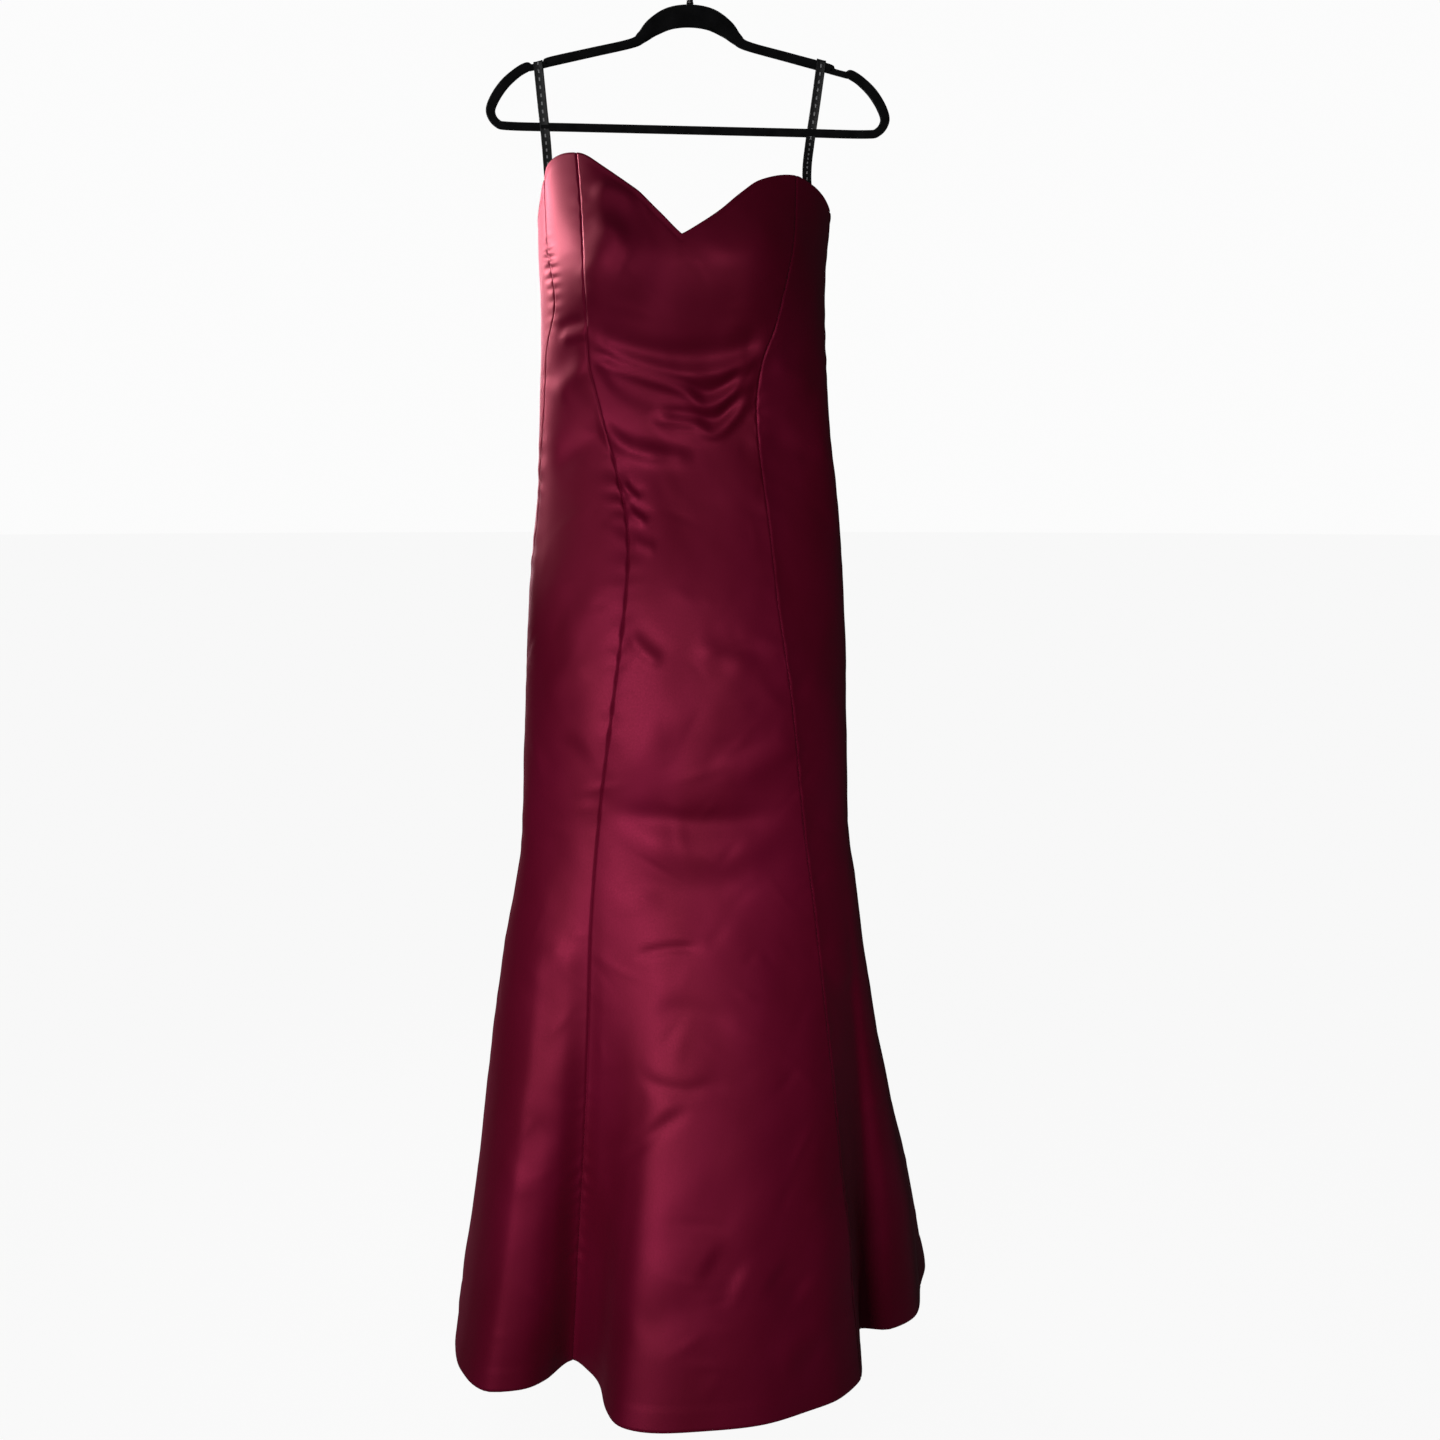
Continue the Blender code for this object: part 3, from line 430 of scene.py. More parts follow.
# Zip behind the centre back seam
CENTRE_BACK = 4
TAPE_WIDTH = 0.024
TAPE_GAP = 0.0005
TAPE_THICKNESS = 0.0007
TAPE_END_Z = -0.735
COIL_RADIUS = 0.0008
COIL_WIRE = 0.00032
COIL_PITCH = 0.0013
COIL_STEPS = 10
COIL_BREADTH = 1.9
PROBE_GIRTH = 0.02
PROBE_Z = 0.004

# Colours
SATIN_DEEP = (0.098, 0.0010, 0.0120, 1.0)
SATIN_BRIGHT = (0.124, 0.0020, 0.0190, 1.0)
FLOCK_DARK = (0.0016, 0.0016, 0.0019, 1.0)
# pale end of the flock ramp is painted sheen
FLOCK_SHEEN_PALE = (0.0090, 0.0090, 0.0100, 1.0)
RIBBON_DARK = (0.0030, 0.0030, 0.0036, 1.0)
RIBBON_PALE = (0.0075, 0.0075, 0.0085, 1.0)
DASH_GREY = (0.30, 0.30, 0.31, 1.0)
WIRE_GREY = (0.16, 0.15, 0.15, 1.0)
TAPE_WINE = (0.050, 0.0012, 0.0080, 1.0)
COIL_WINE = (0.040, 0.0010, 0.0060, 1.0)
ENAMEL_WINE = (0.10, 0.004, 0.016, 1.0)
WHITE = (1.0, 1.0, 1.0, 1.0)

# Stage and light
FLOOR_Z = -1.742
FLOOR_RADIUS = 60.0
FLOOR_SIDES = 64
FLOOR_GLOW = 0.93
AMBIENT = 0.055
BACKDROP = 0.97
SUN = ((-1.25, -2.3, 1.9), 0.36, math.radians(40.0))
SOFT_BOXES = (
    # name, place, target, power, width, height, spread in degrees
    ("front", (-1.0, -2.6, -1.00), (-0.03, 0.0, -1.15), 8.0, 1.2, 0.8, 54.0),
    ("side", (-1.5, 0.50, 0.00), (-0.16, -0.02, -0.33), 1.2, 0.25, 0.4, 20.0),
    ("back", (-1.2, 2.3, -0.30), (0.0, 0.1, -0.95), 5.0, 1.2, 1.0, 70.0),
)


def column(rows, index):
    return np.array([row[index] for row in rows], dtype=float)


def smooth(share):
    share = np.clip(share, 0.0, 1.0)
    return share * share * (3.0 - 2.0 * share)


def curve(keys, values, place):
    """Smooth curve through values at rising keys, read at many places."""
    last = len(keys) - 1
    upper = np.clip(np.searchsorted(keys, place, side="right"), 1, last)
    lower = upper - 1
    span = keys[upper] - keys[lower]
    share = np.clip((place - keys[lower]) / span, 0.0, 1.0)
    before, after = np.maximum(lower - 1, 0), np.minimum(upper + 1, last)
    start, end = values[lower], values[upper]
    start_slope = (end - values[before]) / (keys[upper] - keys[before])
    end_slope = (values[after] - start) / (keys[after] - keys[lower])
    square, cube = share * share, share ** 3
    return (
        start * (2 * cube - 3 * square + 1)
        + start_slope * span * (cube - 2 * square + share)
        + end * (3 * square - 2 * cube)
        + end_slope * span * (cube - square)
    )


def by_height(rows, z, index):
    return curve(-column(rows, 0), column(rows, index), -z)


def signed_power(value, power):
    return np.sign(value) * np.abs(value) ** power


def section_at(z):
    """Middle, half width, front, back and power of the sections at many heights."""
    right, left = by_height(SECTIONS, z, 1), by_height(SECTIONS, z, 2)
    power = 2.0 / by_height(SECTIONS, z, 5)
    return (left - right) / 2.0, (left + right) / 2.0, by_height(SECTIONS, z, 3), by_height(SECTIONS, z, 4), power


def bearing_at(girth, z):
    """Angle from the front centre of places round the dress at their heights."""
    middle, half, _, _, power = section_at(z)
    right = np.arcsin(((by_height(FRONT_SEAMS, z, 1) + middle) / half) ** (1.0 / power))
    left = np.arcsin(((by_height(FRONT_SEAMS, z, 2) - middle) / half) ** (1.0 / power))
    seams = [-right, left]
    seams += [np.radians(by_height(BACK_SEAMS, z, index)) for index in range(1, 6)]
    seams.append(math.tau - right)
    seams = np.array(np.broadcast_arrays(*seams))
    start = np.clip(np.floor(girth).astype(int), 0, len(PANELS) - 1)
    start = np.broadcast_to(start, z.shape)
    low = np.take_along_axis(seams, start[None], 0)[0]
    high = np.take_along_axis(seams, start[None] + 1, 0)[0]
    return low + (high - low) * (girth - start)


def base_points(girth, z):
    """Places on the plain body of the dress."""
    middle, half, front, back, power = section_at(z)
    bearing = bearing_at(girth, z)
    across, forward = np.sin(bearing), np.cos(bearing)
    depth = np.where(forward > 0.0, front, back)
    x = middle + half * signed_power(across, power)
    y = -depth * signed_power(forward, power)
    return np.stack((x, y, z), axis=-1), forward


def hem_points(girth):
    """Places on the closed curve of the hem."""
    whole = float(len(PANELS))
    keys, xs, ys = column(HEM_FOLDS, 0), column(HEM_FOLDS, 1), column(HEM_FOLDS, 2)
    wrap = 3
    keys = np.concatenate((keys[-wrap:] - whole, keys, keys[:wrap] + whole))
    xs = np.concatenate((xs[-wrap:], xs, xs[:wrap]))
    ys = np.concatenate((ys[-wrap:], ys, ys[:wrap]))
    return curve(keys, xs, girth), curve(keys, ys, girth)


def swag_line_rise(points, normals):
    """Height of the folds under the bust that run along measured lines."""
    x, z = points[..., 0] - CLOTH_X, points[..., 2]
    facing = smooth((-normals[..., 1] - 0.3) * 3.0)
    rise = np.zeros_like(x)
    for height, width, *places in SWAG_LINES:
        keys, heights = np.array(places[0::2]), np.array(places[1::2])
        line = curve(keys, heights, x)
        samples = np.linspace(keys[0], keys[-1], LINE_SAMPLES)
        steep = np.gradient(curve(keys, heights, samples), samples[1] - samples[0])
        slope = np.interp(x, samples, steep)
        across = (z - line) / np.sqrt(1.0 + slope * slope)
        fade = smooth((x - keys[0]) / SWAG_FADE) * smooth((keys[-1] - x) / SWAG_FADE)
        rise += height * fade * facing * np.exp(-((across / width) ** 2))
    return rise


def swag_rise(x, z):
    rise = np.zeros_like(x)
    for start_x, start_z, middle_x, middle_z, end_x, end_z, height, width in SWAGS:
        line = (
            start_z * (x - middle_x) * (x - end_x) / ((start_x - middle_x) * (start_x - end_x))
            + middle_z * (x - start_x) * (x - end_x) / ((middle_x - start_x) * (middle_x - end_x))
            + end_z * (x - start_x) * (x - middle_x) / ((end_x - start_x) * (end_x - middle_x))
        )
        fade = smooth((x - start_x) / SWAG_FADE) * smooth((end_x - x) / SWAG_FADE)
        rise += height * fade * np.exp(-(((z - line) / width) ** 2))
    return rise


def dress_points(girth, z):
    """Places on the outer face of the solids."""
    points, forward = base_points(girth, z)
    for cup_x in CUPS:
        away = ((points[..., 0] - cup_x) / CUP_WIDTH) ** 2 + ((z - CUP_Z) / CUP_HEIGHT) ** 2
        points[..., 1] -= CUP_RISE * smooth(2.0 * forward) * np.exp(-away)
    on_front = np.broadcast_to(girth <= 1.0, z.shape)
    points[..., 1] -= SWAG_SHARE * np.where(on_front, swag_rise(points[..., 0], z), 0.0)
    weight = np.clip((KNEE_Z - z) / (KNEE_Z - HEM_Z), 0.0, 1.0) ** FOLD_POWER
    hem_x, hem_y = hem_points(girth)
    plain, _ = base_points(girth, np.full(girth.shape, HEM_Z))
    points[..., 0] += weight * (hem_x - plain[..., 0])
    points[..., 1] += weight * (hem_y - plain[..., 1])
    points[..., 0] += CLOTH_X
    return points


def top_edge(girth):
    """Height of the neck: smooth all round from the point of the V back to it."""
    keys, heights = column(TOP_EDGE, 0), column(TOP_EDGE, 1)
    whole = float(len(PANELS))
    after, before = keys >= V_SHARE, (keys <= V_SHARE) & (keys > 0.0)
    keys = np.concatenate((keys[after], keys[before] + whole))
    heights = np.concatenate((heights[after], heights[before]))
    return curve(keys, heights, np.where(girth < V_SHARE, girth + whole, girth))


def crowded(steps):
    """Shares from 0 to 1, closer together towards both ends."""
    share = np.arange(steps + 1) / steps
    return share - SEAM_CROWDING * np.sin(math.tau * share) / math.tau


def panel_shares(panel, steps):
    shares = crowded(steps)
    if panel == 0:
        nearest = int(np.argmin(np.abs(shares - V_SHARE)))
        shares[nearest] = V_SHARE
    return shares


def unit(vectors):
    return vectors / np.maximum(np.linalg.norm(vectors, axis=-1, keepdims=True), 1e-12)


def grid_normals(points):
    """Outward normals of the closed ring of columns."""
    down = np.empty_like(points)
    down[:, 1:-1] = points[:, 2:] - points[:, :-2]
    down[:, 0] = points[:, 1] - points[:, 0]
    down[:, -1] = points[:, -1] - points[:, -2]
    around = unit(np.roll(points, -1, axis=0) - points) + unit(points - np.roll(points, 1, axis=0))
    return unit(np.cross(unit(down), around))


def crease_rise(points, normals):
    """Height of all listed creases."""
    x, z = points[..., 0] - CLOTH_X, points[..., 2]
    rise = np.zeros_like(x)
    for side, start_x, start_z, end_x, end_z, bow, width, height, trough in CREASES:
        run = np.array((end_x - start_x, end_z - start_z))
        length = np.linalg.norm(run)
        run /= length
        along_line = (x - start_x) * run[0] + (z - start_z) * run[1]
        share = along_line / length
        up = np.array((-run[1], run[0])) * math.copysign(1.0, run[0])
        across = (x - start_x) * up[0] + (z - start_z) * up[1]
        across = across - bow * 4.0 * share * (1.0 - share)
        fade = smooth(share / CREASE_FADE) * smooth((1.0 - share) / CREASE_FADE)
        facing = smooth((side * normals[..., 1] - 0.10) * 4.0)
        ridge = np.exp(-((across / width) ** 2))
        beside = np.exp(-(((across - 1.9 * width) / (1.25 * width)) ** 2))
        rise += height * fade * facing * (ridge - trough * beside)
    return rise


def ripple_rise(lengths, z):
    """Slow unevenness that closes round the dress."""
    random = np.random.default_rng(RIPPLE_SEED)
    round_share = lengths / lengths[-1:]
    rise = np.zeros_like(z)
    for across, down, height in RIPPLES:
        for _ in range(4):
            turns = max(1, round(1.5 / across * random.uniform(0.7, 1.3)))
            phase, lean = random.uniform(0.0, math.tau), random.uniform(-1.0, 1.0)
            wave = math.tau * (turns * round_share + lean * z / across)
            rise += height / 4.0 * np.sin(wave + phase) * np.cos(math.tau * z / down + 2.0 * phase)
    return rise


def seam_rise(girth, distances, z):
    """Ditch at every seam, a slight fullness beside it and uneven puckers."""
    rise = -DITCH_DEPTH * np.exp(-((distances / DITCH_WIDTH) ** 2))
    rise += PILLOW_RISE * (1.0 - np.exp(-((distances / DITCH_WIDTH) ** 2))) * np.exp(-distances / PILLOW_WIDTH)
    nearest = np.broadcast_to(np.round(girth) % len(PANELS), z.shape)
    for seam, middle, half, reach, height, wave in PUCKERS:
        offset = z - middle
        wander = offset + 0.16 * wave * np.sin(offset * 41.0 + seam) + 0.1 * wave * np.sin(offset * 97.0)
        waves = np.sin(math.tau * wander / wave) * (0.65 + 0.35 * np.sin(offset * 63.0 + 2.0 * seam))
        along_seam = np.exp(-((offset / half) ** 2))
        beside = np.exp(-((distances / reach) ** 2)) * smooth(distances / 0.004)
        rise += np.where(nearest == seam, height * along_seam * beside * waves, 0.0)
    return rise


def turn_rise(starts, lengths, z):
    """Hollows and ridges where the panels meet at an angle."""
    rise = np.zeros_like(z)
    whole = lengths[-1]
    for seam, top, bottom, height, before, after in SEAM_TURNS:
        offset = (lengths[:-1] - lengths[starts[int(seam)]] + whole / 2.0) % whole - whole / 2.0
        reach = np.where(offset < 0.0, before, after)
        share = smooth((top - z) / TURN_FADE) * smooth((z - bottom) / TURN_FADE)
        rise += height * share * np.exp(-np.abs(offset) / reach)
    return rise


def crumple_rise(lengths, z):
    """Short low creases at seeded places, lying across or aslant."""
    random = np.random.default_rng(CRUMPLE_SEED)
    place, whole = lengths[:-1], lengths[-1]
    rise = np.zeros_like(z)
    for _ in range(CRUMPLES):
        share, height_z = random.uniform(), random.uniform(HEM_Z + 0.03, -0.30)
        lean = random.normal(0.0, CRUMPLE_LEAN)
        half_length = random.uniform(*CRUMPLE_LENGTH) / 2.0
        width, height = random.uniform(*CRUMPLE_WIDTH), random.uniform(*CRUMPLE_HEIGHT)
        height *= random.choice((-1.0, 1.0)) * (0.55 + 0.45 * np.clip((-0.6 - height_z) / 0.6, 0.0, 1.0))
        bend = random.uniform(-4.0, 4.0)
        rows = np.nonzero(np.abs(z[0] - height_z) < 3.0 * half_length)[0]
        if len(rows) == 0:
            continue
        band = slice(max(rows[0] - 6, 0), rows[-1] + 6)
        offset = (place[:, band] - share * whole[band] + whole[band] / 2.0) % whole[band] - whole[band] / 2.0
        drop = z[:, band] - height_z
        run = offset * math.cos(lean) + drop * math.sin(lean)
        across = drop * math.cos(lean) - offset * math.sin(lean) + bend * run * run
        rise[:, band] += height * np.exp(-((run / half_length) ** 2) - (across / width) ** 2)
    return rise


def hem_rise(z):
    """The faint step where the hem is turned up."""
    above = z - HEM_Z
    return HEM_TURN_RISE * smooth((HEM_TURN - above) / 0.002)


def neck_rise(top, z):
    """Rolled edge of the neck and the slight sink where the turning ends below it."""
    drop = top - z
    roll = NECK_ROLL * np.exp(-((drop / NECK_ROLL_REACH) ** 2))
    return roll - NECK_SINK * np.exp(-(((drop - NECK_SINK_DROP) / NECK_SINK_REACH) ** 2))


def dress_grid():
    """Outer points, normals and widths for the whole ring of fine columns."""
    girths, starts = [], []
    for panel, (_, steps, _) in enumerate(PANELS):
        starts.append(len(girths))
        girths += [panel + share for share in panel_shares(panel, steps)[:-1]]
    girth = np.array(girths)[:, None]
    top = top_edge(girth)
    upper = top + (LEVEL_Z - top) * np.arange(ROWS_TO_LEVEL) / ROWS_TO_LEVEL
    lower = LEVEL_Z + (HEM_Z - LEVEL_Z) * np.arange(ROWS_TO_HEM + 1) / ROWS_TO_HEM
    z = np.concatenate((upper, np.broadcast_to(lower, (len(girths), len(lower)))), axis=1)
    points = dress_points(girth, z)
    normals = grid_normals(points)
    steps = np.linalg.norm(np.diff(points, axis=0, append=points[:1]), axis=-1)
    lengths = np.concatenate((np.zeros((1, z.shape[1])), np.cumsum(steps, axis=0)), axis=0)
    distances = np.full(z.shape, 9.0)
    for start in starts:
        away = np.abs(lengths[:-1] - lengths[start])
        distances = np.minimum(distances, np.minimum(away, lengths[-1] - away))
    rise = SHELL_LIFT + seam_rise(girth, distances, z) + crease_rise(points, normals)
    rise += ripple_rise(lengths, np.concatenate((z, z[:1]), axis=0))[:-1]
    rise += hem_rise(z) + neck_rise(top, z) + swag_line_rise(points, normals)
    rise += turn_rise(starts, lengths, z) + crumple_rise(lengths, z)
    return starts, points + normals * rise[..., None], lengths


def shell_mesh(name, outer, inner, uv):
    """Closed shell with rounded top and bottom edges between two grids of points."""
    columns, rows = outer.shape[:2]
    count = columns * rows
    index = np.arange(count).reshape(columns, rows)
    low = index[:-1, :-1].ravel()
    quads = np.stack((low, low + 1, low + rows + 1, low + rows), axis=1)
    border = np.concatenate((index[0], index[1:, -1], index[-1, -2::-1], index[-2:0:-1, 0]))
    flat_outer, flat_inner = outer.reshape(-1, 3), inner.reshape(-1, 3)
    middle = (flat_outer[border] + flat_inner[border]) / 2.0
    push = np.zeros_like(middle)
    push[:, 2] = EDGE_ROUND * (np.isin(border, index[:, 0]) * 1.0 - np.isin(border, index[:, -1]) * 1.0)
    middle += push
    following = np.roll(np.arange(len(border)), -1)
    rim = 2 * count + np.arange(len(border))
    edge = np.stack((border[following], border, rim, rim[following]), axis=1)
    other = np.stack((rim[following], rim, border + count, border[following] + count), axis=1)
    faces = np.concatenate((quads, quads[:, ::-1] + count, edge, other))
    vertices = np.concatenate((flat_outer, flat_inner, middle))
    mesh = bpy.data.meshes.new(name)
    mesh.from_pydata(vertices.tolist(), [], faces.tolist())
    flat_uv = uv.reshape(-1, 2)
    layer = mesh.uv_layers.new(name="cloth")
    all_uv = np.concatenate((flat_uv, flat_uv, flat_uv[border]))
    corners = np.empty(len(mesh.loops), dtype=np.int32)
    mesh.loops.foreach_get("vertex_index", corners)
    layer.data.foreach_set("uv", all_uv[corners].astype(np.float32).ravel())
    mesh.shade_smooth()
    return mesh


def add_piece(name, mesh, material, body, slot, *replaced):
    piece = bpy.data.objects.new(name, mesh)
    bpy.context.collection.objects.link(piece)
    mesh.materials.append(material)
    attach(piece, body)
    if replaced:
        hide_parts(*replaced)
    return piece


def build_cloth(satin):
    starts, points, lengths = dress_grid()
    normals = grid_normals(points)
    inner = points - normals * CLOTH_THICK
    count = points.shape[0]
    for panel, (node, steps, hem_width) in enumerate(PANELS):
        own = (starts[panel] + np.arange(steps + 1)) % count
        outer_grid, inner_grid = points[own], inner[own]
        ends = starts[panel] + np.arange(steps + 1)
        uv = np.stack((lengths[ends] - lengths[starts[panel]], -outer_grid[..., 2]), axis=-1)
        mesh = shell_mesh(node + "_cloth", outer_grid, inner_grid, uv)
        piece = add_piece(node + "_cloth", mesh, satin, "garment", "satin", node)
    build_allowances(points, normals, lengths, starts, satin)
    return points, normals, lengths, starts[CENTRE_BACK]


def inner_strip(points, normals, lengths, start, shares, depth):
    """Face of a strip that lies inside the shell along a seam, and the seam's own normals."""
    count, rows = points.shape[:2]
    around = np.arange(start - STRIP_REACH, start + STRIP_REACH + 1) % count
    whole = lengths[-1]
    offset = lengths[:-1][around] - lengths[start]
    offset = (offset + whole / 2.0) % whole - whole / 2.0
    inside = points[around] - normals[around] * depth
    face = np.empty((len(shares), rows, 3))
    for row in range(rows):
        for axis in range(3):
            face[:, row, axis] = np.interp(shares, offset[:, row], inside[:, row, axis])
    return face, normals[start]


def build_allowances(points, normals, lengths, starts, satin):
    """Pressed-open seam allowances on the inner face, one strip over each seam."""
    shares = ALLOWANCE_WIDTH * np.array(ALLOWANCE_PLACES)
    for panel, (node, _, _) in enumerate(PANELS):
        start = starts[panel] % points.shape[0]
        face, out = inner_strip(points, normals, lengths, start, shares, CLOTH_THICK + ALLOWANCE_GAP)
        inner = face - out[None] * ALLOWANCE_THICK
        uv = np.stack(np.broadcast_arrays(shares[:, None], -face[..., 2]), axis=-1)
        name = "seam_allowance_" + str(panel)
        piece = add_piece(name, shell_mesh(name, face, inner, uv), satin, "garment", "satin")


def lengths_along(path):
    """Distance of each place of a path from its first."""
    return np.concatenate(((0.0,), np.cumsum(np.linalg.norm(np.diff(path, axis=0), axis=-1))))


def sweep_mesh(name, rings, closed=False, lengths=None, widths=None):
    """Closed solid through rings of the same number of points."""
    rings = np.array(rings)
    count, sides = rings.shape[:2]
    index = np.arange(count * sides).reshape(count, sides)
    start = index if closed else index[:-1]
    end = np.roll(index, -1, axis=0) if closed else index[1:]
    start_next, end_next = np.roll(start, -1, axis=1), np.roll(end, -1, axis=1)
    faces = np.stack((start, start_next, end_next, end), axis=-1).reshape(-1, 4).tolist()
    if not closed:
        faces += [index[0, ::-1].tolist(), index[-1].tolist()]
    mesh = bpy.data.meshes.new(name)
    mesh.from_pydata(rings.reshape(-1, 3).tolist(), [], faces)
    shape = bmesh.new()
    shape.from_mesh(mesh)
    bmesh.ops.recalc_face_normals(shape, faces=shape.faces)
    shape.to_mesh(mesh)
    shape.free()
    if lengths is not None:
        uv = np.stack(np.broadcast_arrays(widths[None], lengths[:, None]), axis=-1).reshape(-1, 2)
        corners = np.empty(len(mesh.loops), dtype=np.int32)
        mesh.loops.foreach_get("vertex_index", corners)
        mesh.uv_layers.new(name="cloth").data.foreach_set("uv", uv[corners].astype(np.float32).ravel())
    mesh.shade_smooth()
    return mesh


def through(keys, places, steps):
    """Smooth path through places, with steps between each two of them."""
    stretches = [np.linspace(first, last, steps, endpoint=False) for first, last in zip(keys, keys[1:])]
    fine = np.concatenate(stretches + [keys[-1:]])
    return np.stack([curve(keys, places[:, axis], fine) for axis in range(places.shape[1])], axis=-1)


def tip(x, z):
    """Tips a place on the hanger about the foot of the hook."""
    offset = z - ARCH_Z
    return (
        x * math.cos(HANGER_TIP) + offset * math.sin(HANGER_TIP),
        ARCH_Z - x * math.sin(HANGER_TIP) + offset * math.cos(HANGER_TIP),
    )


def hanger_spine(steps):
    """Closed smooth spine of the hanger before it is tipped: x, z and half height."""
    half = list(HANGER_SPINE)
    ring = np.array(half + [(-x, z, height) for x, z, height in reversed(half[1:-1])])
    wrapped = np.concatenate((ring[-2:], ring, ring[:3]))
    keys = np.arange(len(wrapped), dtype=float)
    path = through(keys, wrapped, steps)
    return path[2 * steps:(2 + len(ring)) * steps]


def build_hanger_frame(flocking):
    spine = hanger_spine(SPINE_STEPS)
    direction = unit(np.roll(spine[:, :2], -1, axis=0) - np.roll(spine[:, :2], 1, axis=0))
    outward = np.stack((-direction[:, 1], direction[:, 0]), axis=-1)
    turn = math.tau * (np.arange(HANGER_SIDES) + 0.5) / HANGER_SIDES
    power = 2.0 / HANGER_SQUARENESS
    across, deep = signed_power(np.cos(turn), power), signed_power(np.sin(turn), power)
    rings = []
    for (x, z, height), side in zip(spine, outward):
        ring_x, ring_z = tip(x + side[0] * across * height, z + side[1] * across * height)
        rings.append(np.stack((ring_x, deep * HANGER_THICKNESS / 2.0, ring_z), axis=-1))
    mesh = sweep_mesh("hanger_flocked", rings, closed=True)
    add_piece("hanger_flocked", mesh, flocking, "garment", "flocked_plastic", "hanger_frame")


def build_hook(metal):
    """Ferrule with a rolled rim, stem, bend, round top and a rounded tip."""
    radius = HOOK_INNER_RADIUS + WIRE_RADIUS
    centre = np.array((0.0, -HOOK_INNER_RADIUS))
    foot = ARCH_Z + HANGER_SPINE[0][2] + CLEARANCE
    places = [((0.0, foot + share * FERRULE_HEIGHT), thick * FERRULE_RADIUS) for share, thick in FERRULE]
    stem = np.array((0.0, STEM_TOP_Z))
    stem_foot = foot + STEM_START * FERRULE_HEIGHT
    places += [((0.0, stem_foot + share * (STEM_TOP_Z - stem_foot)), WIRE_RADIUS) for share in STEM_SHARES]
    arc_start = centre + radius * np.array((math.cos(HOOK_START), math.sin(HOOK_START)))
    entry = np.array((math.sin(HOOK_START), -math.cos(HOOK_START)))
    bend = (stem, stem + np.array((0.0, STEM_PULL)), arc_start - entry * STEM_PULL, arc_start)
    for share in np.arange(BEND_STEPS) / BEND_STEPS:
        rest = 1.0 - share
        place = (
            bend[0] * rest ** 3 + bend[1] * 3.0 * rest * rest * share
            + bend[2] * 3.0 * rest * share * share + bend[3] * share ** 3
        )
        places.append((tuple(place), WIRE_RADIUS))
    for angle in np.linspace(HOOK_START, HOOK_END, ROUND_STEPS):
        place = centre + radius * np.array((math.cos(angle), math.sin(angle)))
        places.append((tuple(place), WIRE_RADIUS))
    end = np.array(places[-1][0])
    onward = np.array((math.sin(HOOK_END), -math.cos(HOOK_END)))
    places += [
        (tuple(end + onward * WIRE_RADIUS * math.sin(turn)), WIRE_RADIUS * max(math.cos(turn), 0.05))
        for turn in np.linspace(0.25, math.pi / 2.0, 6)
    ]
    path = np.array([place for place, _ in places])
    direction = unit(np.gradient(path, axis=0))
    side = np.stack((-direction[:, 1], direction[:, 0]), axis=-1)
    turn = math.tau * np.arange(WIRE_SIDES) / WIRE_SIDES
    rings = []
    for (place, thick), across in zip(places, side):
        rings.append(np.stack((
            place[0] + across[0] * thick * np.cos(turn),
            thick * np.sin(turn),
            place[1] + across[1] * thick * np.cos(turn),
        ), axis=-1))
    add_piece("hook_wire", sweep_mesh("hook_wire", rings), metal, "garment", "hook_wire", "hanger_hook")


def surface_frames(girth, z):
    """Outer points, outward normals, and the directions along the girth and down, of the solids."""
    girth, z = np.full((len(z), 1), float(girth)), np.array(z, dtype=float)[:, None]
    point = dress_points(girth, z)[:, 0]
    around = unit(dress_points(girth + PROBE_GIRTH, z) - dress_points(girth - PROBE_GIRTH, z))[:, 0]
    down = unit(dress_points(girth, z - PROBE_Z) - dress_points(girth, z + PROBE_Z))[:, 0]
    normal = unit(np.cross(down, around))
    return point, normal, np.cross(normal, down), down


def arm_at(x):
    """Height of the arm's middle and its half height where a loop lies on it."""
    upper = [(*tip(row[0], row[1]), row[2]) for row in hanger_spine(2) if row[1] > SHOULDER_Z]
    rows = np.array(sorted(upper))
    return float(np.interp(x, rows[:, 0], rows[:, 1])), float(np.interp(x, rows[:, 0], rows[:, 2]))


